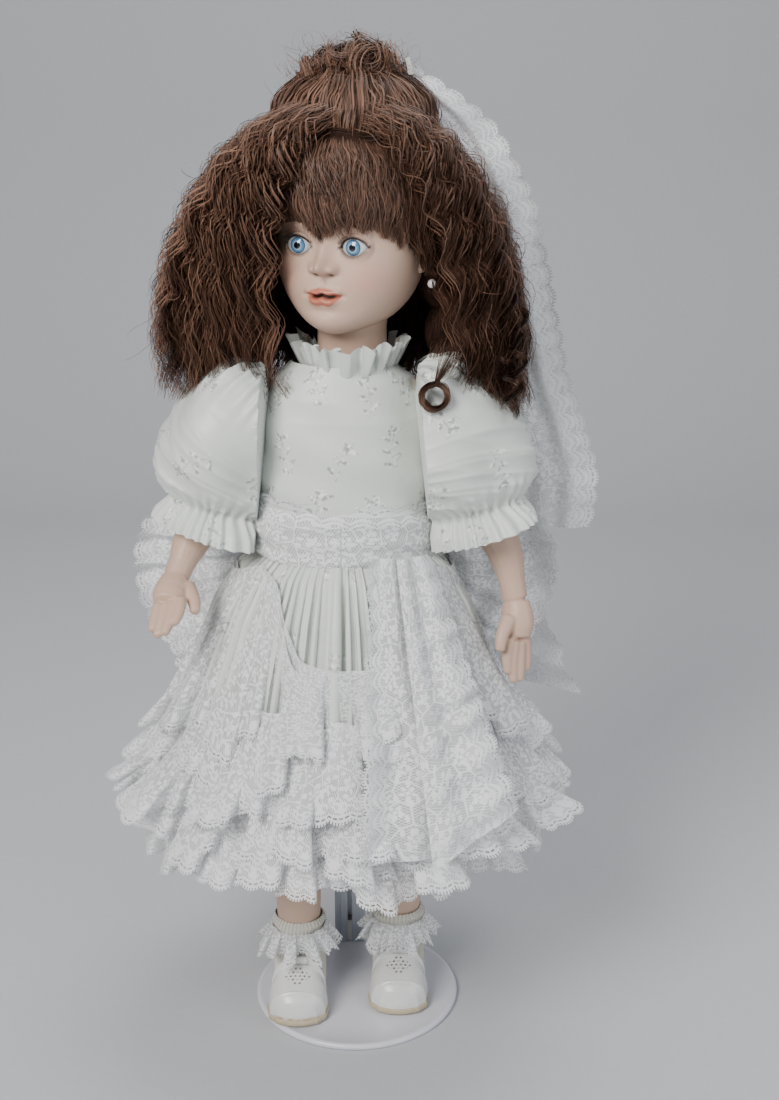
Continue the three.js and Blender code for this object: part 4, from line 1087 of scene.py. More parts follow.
def face_reach(x, z, wide, front):
    """How far forward the face is at a place, with its eyelids round the glass eyes."""
    raised, marks = features(x, z)
    plain = front * np.clip(1 - np.abs(x / wide) ** SQUARE, 0, 1) ** (1 / SQUARE)
    reach = plain + raised * smoothstep(0.0, 0.28, plain / np.maximum(front, 1))
    side = np.abs(x) - EYE_X
    away = (EYE_BALL + 1.25) ** 2 - side**2 - z**2
    lid = EYE_REACH + np.sqrt(np.maximum(away, 0)) * (away > 0)
    lid = np.where(away > 0, lid, -9)
    both = np.maximum(reach, lid) + 0.9 * np.exp(-np.abs(reach - lid) / 1.6)
    upper, lower = eye_edges(side)
    inside = np.minimum(upper - z, z - lower)
    opening = (np.abs(side) < 7.9) & (inside > 0)
    groove = np.exp(-(((z - upper - 2.5) / 0.5) ** 2)) * (np.abs(side) < 8.5)
    both = both - 0.75 * groove
    liner = smoothstep(-1.5, -0.3, inside) * (np.abs(side) < 9.2) * (np.abs(z) < 7)
    # Half the groove is added to the liner: painted shade in the crease above the lid, with the painted
    # liner.
    marks["liner"] = np.clip(liner * np.where(z > 0, 1.0, 0.8) + 0.5 * groove, 0, 1)
    return np.where(opening, EYE_REACH - 2, both), marks


def turned_head(points):
    """World places from millimetre ones in the head's own frame, which looks along -Y from the eye line."""
    points = np.asarray(points, float) * MM
    c, s = math.cos(HEAD_TURN), math.sin(HEAD_TURN)
    x = points[..., 0] * c - points[..., 1] * s
    y = points[..., 0] * s + points[..., 1] * c
    return np.stack([x, y, points[..., 2] + EYE_LINE], -1)


def on_face(x, z, lift=0.0):
    """Places on the face's surface, lifted off it by a little, in millimetres."""
    heights, wide, front, _ = face_profile(400)
    reach, _ = face_reach(x, z, np.interp(z, heights, wide), np.interp(z, heights, front))
    return np.stack([x, -(reach + lift), z], -1)


def make_head(bisque, painted, glass, pearl, brow_paint, lash_paint):
    rows, columns = 318, 312
    heights, wide, front, back = face_profile(rows)
    t = np.linspace(0, 2 * math.pi, columns, endpoint=False)
    turn = (t - 0.55 * np.sin(t))[:, None]
    sine = np.sign(np.sin(turn)) * np.abs(np.sin(turn)) ** (2 / SQUARE)
    cosine = np.sign(np.cos(turn)) * np.abs(np.cos(turn)) ** (2 / SQUARE)
    x = wide[None] * sine
    z = np.broadcast_to(heights, x.shape)
    reach, marks = face_reach(x, z, np.broadcast_to(wide, x.shape), np.broadcast_to(front, x.shape))
    y = np.where(cosine > 0, -reach, back[None] * -cosine)
    points = turned_head(np.stack([x, y, z], 2)).reshape(-1, 3)
    facing = smoothstep(0.0, 0.2, cosine)
    marks = {key: value * facing for key, value in marks.items()}
    head = mesh_piece("bisque_head", points, grid_faces(columns, rows, True), painted, marks=marks)
    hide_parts("head_shell")
    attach(head, "head")

    base = NECK_BASE
    neck = lathe_piece(
        "bisque_neck",
        [(0.001, base), (0.0205, base), (0.0212, base + 0.004), (0.0205, base + 0.016),
         (0.0203, base + 0.028),
         (0.0215, base + 0.038), (0.024, base + 0.048)],
        bisque, 96, centre=(0.0, 0.003),
    )
    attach(neck, "head")

    for side, sign in SIDES.items():
        make_eye(side, sign, glass)
        make_lashes(side, sign, brow_paint, lash_paint)
        make_ear(side, sign, bisque, pearl)


def make_eye(side, sign, glass):
    rings, spokes = 48, 72
    away = np.linspace(0, math.pi * 0.62, rings)
    turn = np.linspace(0, 2 * math.pi, spokes, endpoint=False)[:, None]
    bulge = EYE_BALL + 0.55 * np.exp(-((away / 0.45) ** 2))
    x = bulge * np.sin(away) * np.cos(turn)
    z = bulge * np.sin(away) * np.sin(turn)
    y = np.broadcast_to(-bulge * np.cos(away), x.shape)
    uv = np.stack([(EYE_BALL * away * np.cos(turn)).ravel(), (EYE_BALL * away * np.sin(turn)).ravel()], 1)
    points = np.stack([x + sign * EYE_X, y - EYE_REACH, z], 2)
    eye = mesh_piece(f"glass_{side}", turned_head(points).reshape(-1, 3), grid_faces(spokes, rings, True),
                     glass, uv)
    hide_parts(f"eye_{side}")
    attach(eye, "head")


def hairs(name, lines, radii, material, tones, sides=3, core=None):
    """Many thin tapered strands in one mesh. lines is (strands, points, 3) in metres.

    With a core, a place inside the head, each strand is a flat ribbon that faces away from it.
    """
    count, length = lines.shape[:2]
    tangent = unit(np.gradient(lines, axis=1))
    helper = np.array([0.31, 0.52, 0.79])
    if core is not None:
        sides = 2
        spin = np.random.default_rng(count).normal(size=(count, 1, 3)) * 0.22
        helper = unit(lines - np.asarray(core)) + spin
    across = unit(np.cross(tangent, helper))
    other = np.cross(tangent, across)
    turn = np.arange(sides) * 2 * math.pi / sides
    taper = np.sin(np.linspace(0.35, math.pi * 0.93, length)) ** 0.6
    size = (np.asarray(radii)[:, None] * taper)[:, :, None, None]
    points = lines[:, :, None] + size * (
        across[:, :, None] * np.cos(turn)[None, None, :, None]
        + other[:, :, None] * np.sin(turn)[None, None, :, None]
    )
    start = (np.arange(count) * length * sides)[:, None, None]
    ring_at = (np.arange(length - 1) * sides)[None, :, None]
    k = np.arange(sides if sides > 2 else 1)[None, None, :]
    after = (k + 1) % sides
    quads = [start + ring_at + k, start + ring_at + after, start + ring_at + sides + after,
             start + ring_at + sides + k]
    faces = np.stack([q.ravel() for q in quads], 1)
    tone = np.repeat(np.asarray(tones, float).reshape(count, -1) * np.ones((count, length)), sides)
    return mesh_piece(name, points.reshape(-1, 3), faces, material, marks={"tone": tone})


def make_lashes(side, sign, brow_paint, lash_paint):
    """Painted brow strokes, and lashes round one eye."""
    rng = np.random.default_rng(31 + sign)
    count, steps = 70, 8
    at = np.linspace(-8.5, 10, count) + rng.uniform(-0.3, 0.3, count)
    arch = 11.6 + 1.9 * np.sin((at + 9) / 20 * math.pi) + rng.uniform(-0.45, 0.45, count)
    t = np.linspace(0, 1, steps)[None]
    x = sign * (EYE_X + at[:, None] + 2.8 * t)
    z = arch[:, None] + (0.9 - 0.11 * at[:, None]) * t * 1.2 - 0.35
    brow = hairs(f"brow_{side}", turned_head(on_face(x, z, 0.10)), np.full(count, 0.00017), brow_paint,
                 np.ones(count))
    count = 44
    at = np.linspace(-7.4, 7.6, count)
    upper = eye_edges(at)[0]
    fan = at[:, None] * 0.22
    length = (2.6 + 1.1 * np.cos((at - 2) / 8))[:, None]
    ball = np.sqrt(np.maximum((EYE_BALL + 1.1) ** 2 - at**2 - upper**2, 1))[:, None]
    x = sign * (EYE_X + at[:, None] + fan * t * 1.1)
    y = -(EYE_REACH + ball + length * (0.9 * t))
    z = upper[:, None] + length * (0.75 * t**1.6 - 0.1 * t)
    lash = turned_head(np.stack([x, np.broadcast_to(y, x.shape), z], -1))
    upper_lash = hairs(f"lash_{side}", lash, np.full(count, 0.00016), lash_paint, np.ones(count))
    count = 22
    at = np.linspace(-6.4, 7.2, count)
    lower = eye_edges(at)[1]
    x = sign * (EYE_X + at[:, None] + at[:, None] * 0.12 * t)
    z = lower[:, None] - 0.35 - 1.7 * t
    stroke = turned_head(on_face(x, z, 0.08))
    lower_lash = hairs(f"lower_lash_{side}", stroke, np.full(count, 0.00009), lash_paint, np.ones(count))
    for piece in (brow, upper_lash, lower_lash):
        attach(piece, "head")


def make_ear(side, sign, bisque, pearl):
    rings, spokes = 30, 72
    r = np.linspace(0, 1, rings)[None]
    turn = np.linspace(0, 2 * math.pi, spokes, endpoint=False)[:, None]
    low = smoothstep(0.2, -1, np.sin(turn))
    half_wide = 6.6 - 1.8 * low
    along = r * half_wide * np.cos(turn)
    up = r * 12.0 * np.sin(turn)
    rim = 2.3 * np.exp(-(((r - 0.86) / 0.13) ** 2)) * (1 - 0.5 * low)
    inner = 1.5 * np.exp(-(((r - 0.52) / 0.11) ** 2)) * smoothstep(-0.4, 0.5, np.cos(turn + 0.5)) * (1 - low)
    lobe = 1.3 * low * np.exp(-(((r - 0.6) / 0.4) ** 2))
    height = 0.4 + rim + inner + lobe - 3.2 * smoothstep(0.93, 1.0, r)
    x = sign * (41.6 + height + 0.22 * along)
    y = along + 1.5
    z = up - 6.0
    points = turned_head(np.stack([x, y, z], 2)).reshape(-1, 3)
    ear = mesh_piece(f"ear_{side}", points, grid_faces(spokes, rings, True), bisque)
    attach(ear, "head")
    radius = (corners(f"earring_{side}")[1][2] - corners(f"earring_{side}")[0][2]) / 2
    at = middle(f"earring_{side}")
    bead = lathe_piece(
        f"pearl_drop_{side}",
        [(radius * math.sin(a) + 1e-5, at[2] - radius * math.cos(a)) for a in np.linspace(0, math.pi, 25)],
        pearl, 32, centre=at[:2],
    )
    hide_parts(f"earring_{side}")
    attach(bead, "head")


# ---- Hair ----

def coiled(guides, radius, turns, phase, start=0.15):
    """Strands that coil round guide lines. All arrays hold one entry for each strand."""
    length = guides.shape[1]
    tangent = unit(np.gradient(guides, axis=1))
    across = unit(np.cross(tangent, np.array([0.2, -1.0, 0.1])))
    other = np.cross(tangent, across)
    t = np.linspace(0, 1, length)[None]
    grow = smoothstep(0, start + 0.2, t) * (1 - 0.25 * t)
    angle = phase[:, None] + 2 * math.pi * turns[:, None] * t
    size = (radius[:, None] * grow)[..., None]
    return guides + size * (across * np.cos(angle)[..., None] + other * np.sin(angle)[..., None])


def bend_line(points, length):
    """Smooth lines through three control places each. points is (lines, 3 or 4, 3)."""
    t = np.linspace(0, 1, length)[None, :, None]
    p = [points[:, k, None] for k in range(points.shape[1])]
    if len(p) == 3:
        return p[0] * (1 - t) ** 2 + 2 * p[1] * t * (1 - t) + p[2] * t**2
    return p[0] * (1 - t) ** 3 + 3 * p[1] * t * (1 - t) ** 2 + 3 * p[2] * t**2 * (1 - t) + p[3] * t**3


def ringlets(rng, paths, each, widths, coil, pitch, length=48, loose=0.2, tone=(0.2, 0.66), phases=None):
    """Locks of waving strands. paths is (locks, 4, 3); widths is a lock's spread at each of its places."""
    lines, tones = [], []
    t = np.linspace(0, 1, length)[None]
    widths = np.asarray(widths)[None, :, None]
    if phases is None:
        phases = rng.uniform(0, 2 * math.pi, len(paths))
    for path, first in zip(paths, phases):
        spread = rng.normal(size=(each, 1, 3)) + 0.15 * rng.normal(size=(each, 4, 3))
        guides = bend_line(path[None] + spread * widths, length)
        span = np.linalg.norm(np.diff(path, axis=0), axis=1).sum()
        radius = rng.uniform(*coil) * rng.uniform(0.75, 1.2, each)
        turns = span / pitch * rng.uniform(0.88, 1.12) * np.sign(path[-1, 0])
        turns = turns * rng.uniform(0.985, 1.015, each)
        phase = first + rng.normal(size=each) * loose
        lines.append(coiled(guides, radius, turns, phase))
        # gloss is a painted highlight: the tone lightens on one side of each turn of the coil.
        gloss = 0.12 * np.sin(phase[:, None] + 2 * math.pi * turns[:, None] * t)
        tones.append(np.clip(rng.uniform(*tone) + rng.normal(size=(each, 1)) * 0.08 + gloss, 0, 1))
    return np.concatenate(lines), np.concatenate(tones)


def dark_mass(name, blobs, material):
    """A lumpy dark under-layer that keeps light from showing through the strands: painted shade inside the
    hair.
    """
    rings, spokes = 14, 20
    away = np.linspace(0.02, math.pi - 0.02, rings)[None]
    turn = np.linspace(0, 2 * math.pi, spokes, endpoint=False)[:, None]
    verts, faces = [], []
    for at, size in blobs:
        grow = 1 + 0.08 * np.sin(3 * turn + 2 * away) + 0.06 * np.cos(5 * turn - 3 * away)
        x = at[0] + size[0] * grow * np.sin(away) * np.cos(turn)
        y = at[1] + size[1] * grow * np.sin(away) * np.sin(turn)
        z = at[2] + size[2] * grow * np.cos(away) * np.ones(turn.shape)
        faces.append(grid_faces(spokes, rings, True) + len(verts) * rings * spokes)
        verts.append(np.stack([x, y, z], 2).reshape(-1, 3))
    points = np.concatenate(verts)
    tone = np.full(len(points), 0.05)
    return mesh_piece(name, points, np.concatenate(faces), material, marks={"tone": tone})


def joined_piece(name, *pieces):
    """Several meshes as one object."""
    for piece in bpy.context.selected_objects:
        piece.select_set(False)
    for piece in pieces:
        piece.select_set(True)
    bpy.context.view_layer.objects.active = pieces[0]
    bpy.ops.object.join()
    pieces[0].name = name
    return pieces[0]


HEAD_CORE = (0.0, 0.006, 0.505)
BAND_Z = 0.566  # the pinned band that parts the hair: above it the hair is swept up, below it falls


# How far out and how high a lock runs, from the face's edge (first) to the outline of the hair (second)
LOBE_X = ((0.008, 0.030), (0.036, 0.066), (0.058, 0.116), (0.054, 0.108))
LOBE_Z = ((0.572, 0.573), (0.566, 0.561), (0.518, 0.500), (0.412, 0.424))
LOBE_SIZE = {"right": 1.0, "left": 0.88}
EAR_ROOM = 0.009  # the hair on the doll's left is pushed back to show the ear


def lobe_paths(rng, side, locks, front):
    """Paths that leave the band, sweep outwards over the temple and fall beside the face."""
    sign = SIDES[side]
    outer = rng.uniform(0, 1, locks) ** 0.8
    depth = rng.uniform(0, 0.25, locks) if front else rng.uniform(0.1, 1, locks)
    clear = EAR_ROOM if side == "left" else 0.0
    x = [low * (1 - outer) + high * outer * LOBE_SIZE[side] for low, high in LOBE_X]
    x = [px + clear * (1 - outer) * share for px, share in zip(x, (0, 0.3, 1, 1))]
    z = [low * (1 - outer) + high * outer for low, high in LOBE_Z]
    y = [-0.036 + 0.056 * depth, -0.056 + 0.100 * depth, -0.046 + 0.108 * depth, -0.022 + 0.082 * depth]
    z[3] = z[3] + rng.uniform(-0.012, 0.026, locks) * (0.4 + 0.6 * outer) - (0.010 if side == "left" else 0)
    x[3] = x[3] + rng.normal(size=locks) * 0.006
    paths = np.stack([np.stack([sign * px, py, pz + 0 * px], 1) for px, py, pz in zip(x, y, z)], 1)
    return paths, 7 * outer + 3 * depth + rng.normal(size=locks) * 0.7


def worn_hair(name, strands, size, material, tones, rng, *nodes, mass=None):
    """Strands, and the dark mass under them, as one piece that turns with the head."""
    piece = hairs(name, strands, rng.uniform(*size, len(strands)), material, tones, core=HEAD_CORE)
    if mass is not None:
        piece = joined_piece(name, piece, mass)
    if nodes:
        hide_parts(*nodes)
    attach(piece, "head")
    return piece


def lobe(side, hair, shadow):
    """The hair that hangs beside the face on one side: layers of loose curls over a dark mass."""
    sign = SIDES[side]
    rng = np.random.default_rng(200 + sign)
    blobs = [
        ((sign * 0.048, 0.014, 0.530), (0.020, 0.032, 0.026)),
        ((sign * 0.064, 0.014, 0.490), (0.026, 0.034, 0.038)),
        ((sign * 0.066, 0.014, 0.450), (0.022, 0.030, 0.026)),
    ]
    widths = (0.0030, 0.0032, 0.0034, 0.0022)
    for layer, name in enumerate(("under", "waves", "sweep")):
        paths, phases = lobe_paths(rng, side, 76, layer == 2)
        strands, tones = ringlets(rng, paths, 27, widths, (0.0030, 0.0060), 0.031,
                                  tone=(0.26, 0.62 + 0.06 * layer),
                                  phases=phases)
        mass = dark_mass(f"mass_{side}", blobs, shadow) if layer == 0 else None
        nodes = [f"hair_{side}"] if layer == 0 else []
        worn_hair(f"curls_{side}_{name}", strands, (0.00024, 0.00048), hair, tones, rng, *nodes, mass=mass)

    count, length = 420, 26
    start, _ = lobe_paths(rng, side, count, False)
    share = rng.uniform(0.25, 0.95, (count, 1))
    root = start[:, 1] * (1 - share) + start[:, 3] * share
    out = np.stack([sign * rng.uniform(0.2, 1, count), rng.normal(size=count) * 0.6,
                    rng.normal(size=count) * 0.7], 1)
    tip = root + unit(out) * rng.uniform(0.012, 0.036, (count, 1))
    half = (root + tip) / 2 + rng.normal(size=(count, 3)) * 0.010
    wisps = coiled(bend_line(np.stack([root, half, tip], 1), length), rng.uniform(0.002, 0.007, count),
                   rng.uniform(0.4, 1.3, count), rng.uniform(0, 2 * math.pi, count))
    worn_hair(f"hair_wisps_{side}", wisps, (0.00008, 0.00014), hair, rng.uniform(0.3, 0.9, (count, 1)), rng)


def make_tight_curls(hair):
    """Small dark corkscrews at the outer edge of the hair on the doll's left, beside the veil."""
    rng = np.random.default_rng(311)
    starts = [(0.072, 0.512), (0.082, 0.494), (0.088, 0.474), (0.089, 0.452), (0.086, 0.434)]
    paths = []
    for x, z in starts:
        for y in (-0.030, -0.012):
            paths.append([(x, y, z + 0.006), (x + 0.007, y - 0.005, z), (x + 0.009, y - 0.004, z - 0.014),
                          (x + 0.006, y, z - 0.028)])
    strands, tones = ringlets(rng, np.array(paths), 60, (0.0006, 0.0006, 0.0006, 0.0010), (0.0040, 0.0056),
                              0.015,
                              length=56, loose=0.16, tone=(0.08, 0.36))
    worn_hair("hair_corkscrews", strands, (0.00020, 0.00034), hair, tones, rng)


def make_back_hair(hair, shadow):
    rng = np.random.default_rng(303)
    blobs = [((0, 0.040, 0.47), (0.058, 0.022, 0.056)), ((0, 0.032, 0.52), (0.052, 0.030, 0.038))]
    for layer, name in enumerate(("under", "waves")):
        locks = 62
        x = rng.uniform(-0.060, 0.060, locks)
        deep = rng.uniform(0, 1, locks)
        paths = np.stack([
            np.stack([x * 0.5, 0.024 + 0 * x, BAND_Z + 0.004 + 0 * x], 1),
            np.stack([x * 0.85, 0.060 + 0.010 * deep, 0.560 + 0 * x], 1),
            np.stack([x * 1.15, 0.070 + 0.020 * deep, 0.500 + 0 * x], 1),
            np.stack([x * 1.15, 0.050 + 0.024 * deep, 0.405 + rng.uniform(0, 0.04, locks)], 1),
        ], 1)
        strands, tones = ringlets(rng, paths, 27, (0.003, 0.0035, 0.0035, 0.0022), (0.0030, 0.0062), 0.027,
                                  tone=(0.16, 0.6 + 0.06 * layer))
        mass = dark_mass("mass_back", blobs, shadow) if layer == 0 else None
        nodes = ["hair_back"] if layer == 0 else []
        worn_hair(f"back_{name}", strands, (0.00030, 0.00062), hair, tones, rng, *nodes, mass=mass)


def make_crown(hair, shadow):
    """Above the band: hair swept up to the foot of the topknot. Round the band: pinned strands."""
    rng = np.random.default_rng(304)
    locks = 84
    around = np.arange(locks) * 2 * math.pi / locks + rng.normal(size=locks) * 0.03
    front, side = np.cos(around), np.sin(around)
    band = (BAND_Z - EYE_LINE) / MM
    lift = rng.normal(size=locks) * 1.0
    paths = turned_head(np.stack([
        np.stack([43 * side, -39 * front + 5, band - 1 + lift], 1),
        np.stack([51 * side, -45 * front + 6, band + 12 + lift], 1),
        np.stack([34 * side, -30 * front + 7, band + 26 + lift], 1),
        np.stack([11 * side, -10 * front + 7, band + 30 + lift], 1),
    ], 1))
    strands, tones = ringlets(rng, paths, 34, (0.0016, 0.0020, 0.0018, 0.0010), (0.0003, 0.0011), 0.026,
                              length=32,
                              loose=0.4, tone=(0.26, 0.7))
    blobs = [((0.0, 0.006, 0.538), (0.044, 0.043, 0.036)), ((0.0, 0.006, 0.570), (0.034, 0.032, 0.016))]
    mass = dark_mass("mass_crown", blobs, shadow)
    worn_hair("hair_crown_waves", strands, (0.00028, 0.00055), hair, tones, rng, "hair_crown", "wig_cap",
              mass=mass)

    count = 620
    around = rng.uniform(0, 2 * math.pi, count)
    sweep = around[:, None] + np.linspace(0, 0.8, 18)[None] * rng.choice([-1, 1], (count, 1))
    low = band - 4 + rng.normal(size=(count, 1)) * 1.6 + 1.5 * np.sin(sweep * 9)
    radius = 46.5 + rng.normal(size=(count, 1)) * 1.2
    round_head = turned_head(np.stack([radius * np.sin(sweep), -43.5 * np.cos(sweep) + 5,
                                       low * np.ones(sweep.shape)], 2))
    worn_hair("hair_band", round_head, (0.0002, 0.0004), hair, rng.uniform(0.0, 0.16, (count, 1)), rng)


def make_fringe(hair):
    """Pointed locks that fall from the band over the forehead, spreading outwards to both temples."""
    rng = np.random.default_rng(305)
    heights, wide, front_reach, _ = face_profile(400)

    def skin(x, z, lift):
        w = np.interp(z, heights, wide)
        f = np.interp(z, heights, front_reach)
        inside = np.clip(1 - np.abs(np.clip(x / w, -0.99, 0.99)) ** SQUARE, 0, 1) ** (1 / SQUARE)
        return np.stack([x, -(f * inside + lift), z], -1)

    band = (BAND_Z - EYE_LINE) / MM
    for layer, (name, locks) in enumerate((("fringe_under", 92), ("fringe_over", 92))):
        end_x = np.linspace(-50, 52, locks) + rng.normal(size=locks) * 2.6
        edge = np.interp(end_x, [-50, -36, -26, -13, -2, 12, 28, 38, 52],
                         [-2, 15, 18, 15, 5.5, 10, 10, 2, -16])
        end_z = edge + np.abs(rng.normal(size=locks)) * 4.5 - 2.5 + 2.0 * layer
        share = np.clip(end_x / 50, -1, 1)
        lift = rng.uniform(1.0, 4.5, locks) + 1.0 * layer
        bow = np.sqrt(np.clip(1 - share**2 * 0.85, 0, 1))
        paths = turned_head(np.stack([
            np.stack([share * 30, -41 * bow + 3, np.full(locks, band - 9)], 1),
            np.stack([share * 47, -51 * bow - 1, np.full(locks, band - 16)], 1),
            skin(share * 52, end_z + 14, 5 + lift),
            skin(end_x, end_z, 1.0 + 0.5 * lift),
        ], 1))
        strands, tones = ringlets(rng, paths, 22, (0.0022, 0.0026, 0.0022, 0.0008), (0.0006, 0.0026), 0.026,
                                  length=40,
                                  loose=0.35, tone=(0.2, 0.62))
        nodes = ["hair_fringe"] if layer == 0 else []
        worn_hair(name, strands, (0.00014, 0.00030), hair, tones, rng, *nodes)


def make_topknot(hair, shadow):
    """Loops of hair pinned over one another, loosening into wisps."""
    rng = np.random.default_rng(306)
    loops, each = 90, 26
    at = middle("topknot") + np.array([0, 0, -0.001])
    lines, tones = [], []
    for _ in range(loops):
        lean = unit(rng.normal(size=3) * np.array([1, 1, 0.8]))
        centre = at + lean * np.array([0.023, 0.020, 0.014]) * rng.uniform(0, 1) ** 0.5
        a = unit(np.cross(lean, rng.normal(size=3)))
        b = np.cross(lean, a)
        size = rng.uniform(0.005, 0.013) * (1 + 0.14 * rng.normal(size=(each, 1, 1)))
        t = np.linspace(0, 2 * math.pi * rng.uniform(0.6, 1.1), 28)[None, :, None]
        t = t + rng.normal(size=(each, 1, 1)) * 0.3
        rise = lean * rng.normal(size=(each, 1, 1)) * 0.0032
        lines.append(centre + size * (a * np.cos(t) + b * np.sin(t)) * (1 - 0.05 * t) + rise)
        tones.append(np.clip(rng.uniform(0.2, 0.66) + rng.normal(size=(each, 1)) * 0.17, 0, 1))
    lines = np.concatenate(lines)
    lines[..., 2] = np.minimum(lines[..., 2], corners("topknot")[1][2] + 0.009)
    blobs = [(at + np.array([0, 0, -0.008]), (0.020, 0.018, 0.012)),
             (at + np.array([0, 0, -0.020]), (0.024, 0.022, 0.010))]
    mass = dark_mass("mass_knot", blobs, shadow)
    worn_hair("hair_topknot_curls", lines, (0.00022, 0.00046), hair, np.concatenate(tones), rng, "topknot",
              mass=mass)

    count = 520
    lean = unit(rng.normal(size=(count, 3)) * [1.2, 1, 0.6] + [0, 0, 0.2])
    root = at + lean * 0.014 - [0, 0, 0.006]
    tip = at + lean * rng.uniform(0.024, 0.043, (count, 1)) * [1.15, 1, 0.62]
    half = (root + tip) / 2 + rng.normal(size=(count, 3)) * 0.009
    wisps = coiled(bend_line(np.stack([root, half, tip], 1), 26), rng.uniform(0.002, 0.006, count),
                   rng.uniform(0.4, 1.4, count), rng.uniform(0, 2 * math.pi, count))
    worn_hair("hair_knot_wisps", wisps, (0.00008, 0.00016), hair, rng.uniform(0.3, 0.9, (count, 1)), rng)


def make_pin_curl(hair):
    """The one rolled curl that rests on the doll's left shoulder."""
    rng = np.random.default_rng(307)
    count, length = 150, 52
    t = np.linspace(0, 1, length)[None, :, None]
    spread = rng.normal(size=(count, 1, 3)) * [0.0006, 0.0009, 0.0006]
    ring = np.array([0.0476, -0.050, 0.4205])
    radius = 0.0074
    top = np.array([0.060, -0.034, 0.446])
    hang = top + (ring + [0, 0, radius] - top) * np.minimum(t / 0.25, 1)
    turn = 2 * math.pi * 1.75 * np.clip((t - 0.25) / 0.75, 0, 1)
    curl = radius * np.concatenate([-np.sin(turn), 0.10 * turn, np.cos(turn) - 1], 2)
    spread = spread * (1 + 5 * np.clip(1 - t / 0.22, 0, 1))
    worn_hair("hair_pin_curl", hang + curl + spread, (0.0002, 0.0003), hair,
              rng.uniform(0.15, 0.6, (count, 1)), rng)


def make_hair(hair, shadow):
    for side in SIDES:
        lobe(side, hair, shadow)
    make_tight_curls(hair)
    make_back_hair(hair, shadow)
    make_crown(hair, shadow)
    make_fringe(hair)
    make_topknot(hair, shadow)
    make_pin_curl(hair)


# ---- Veil, bow and streamer ----

def panel(name, top, bottom, material, folds, depth, seed, out, rows=420, columns=150, scallop_sides=True,
          body="trunk",
          spread=1.0, pleats=0.0, pleat_depth=0.0):
    """A hanging lace panel between a top line and a bottom line, each a list of places.

    The flat size it declares is worked back from the mesh's area, so it isn't an independent size of the cut.
    """
    rng = np.random.default_rng(seed)
    s = np.linspace(0, 1, rows)
    top_line = curve_through(top, rows)
    bottom_line = curve_through(bottom, rows)
    t = np.linspace(0, 1, columns)[None, :, None]
    phase = 2 * math.pi * folds * s + 1.2 * smooth_noise(rows, rows / folds, rng)
    out = unit(np.asarray(out, float))
    swing = (depth * (1 + 0.3 * smooth_noise(rows, rows / folds, rng)) * np.cos(phase))[:, None, None]
    line = top_line[:, None] * (1 - t) + bottom_line[:, None] * t
    line = line + out * swing * (0.25 + 0.75 * t**spread)
    wander = smooth_noise(rows, rows / 3, rng)[:, None, None]
    line = line + out * pleat_depth * np.sin(2 * math.pi * pleats * t + 1.1 * wander) * (0.7 + 0.3 * wander)
    run = np.concatenate([[0], np.cumsum(np.linalg.norm(np.diff(line[:, -1], axis=0), axis=1))]) / MM
    length = np.linalg.norm(line[:, -1] - line[:, 0], axis=1).mean()
    down = unit(bottom_line - top_line)[:, None]
    edge = smoothstep(1 - 0.01 / length, 1, t)
    scallop = SCALLOP_DEPTH * np.abs(np.sin(run * math.pi / SCALLOP)) ** 0.7
    line = line + down * edge * scallop[:, None, None]
    v = np.broadcast_to((1 - t[..., 0]) * length / MM, (rows, columns))
    u = np.broadcast_to(run[:, None], (rows, columns))
    if scallop_sides:
        v = np.minimum(v, np.minimum(run, run[-1] - run)[:, None] + 0.3)
    marks = {"motif": lace_motifs(u, v)}
    points = line.reshape(-1, 3)
    faces = grid_faces(rows, columns)
    piece = mesh_piece(name, points, faces, material, np.stack([u.ravel(), v.ravel()], 1), marks)
    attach(piece, body)
    return piece


def make_veil(lace):
    """Two layers gathered on the comb, falling over the crown and behind the doll's left shoulder."""
    comb = middle("veil_comb")
    fall = [(0.059, 0.583), (0.079, 0.566), (0.094, 0.545), (0.106, 0.520), (0.114, 0.490), (0.122, 0.455),
            (0.128, 0.425), (0.142, 0.385), (0.152, 0.345), (0.149, 0.313)]
    steps = len(fall)
    for layer in range(2):
        back = 0.014 * layer
        outer = [(comb[0] - 0.004, comb[1] - 0.002, comb[2] + 0.002)]
        inner = [(comb[0] - 0.010, comb[1] + 0.002, comb[2] - 0.004)]
        for k, (x, z) in enumerate(fall):
            share = (k + 1) / steps
            y = 0.012 + 0.036 * share + back
            outer.append((x - 0.006 * layer, y, z + (0.012 * layer if k == steps - 1 else 0)))
            inner.append((x * (0.60 + 0.10 * share) - 0.004, y + 0.002 - 0.012 * (1 - share),
                          z - 0.006 * (1 - share)))
        piece = panel(
            f"veil_{'ab'[layer]}", inner, outer, lace, folds=6 + layer, depth=0.0030, seed=500 + layer,
            out=(0.3, 1, 0),
            rows=520, columns=90, scallop_sides=False, body="head", spread=0.6,
            pleats=2.5 + layer, pleat_depth=0.0035,
        )
        if layer == 0:
            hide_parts("veil")


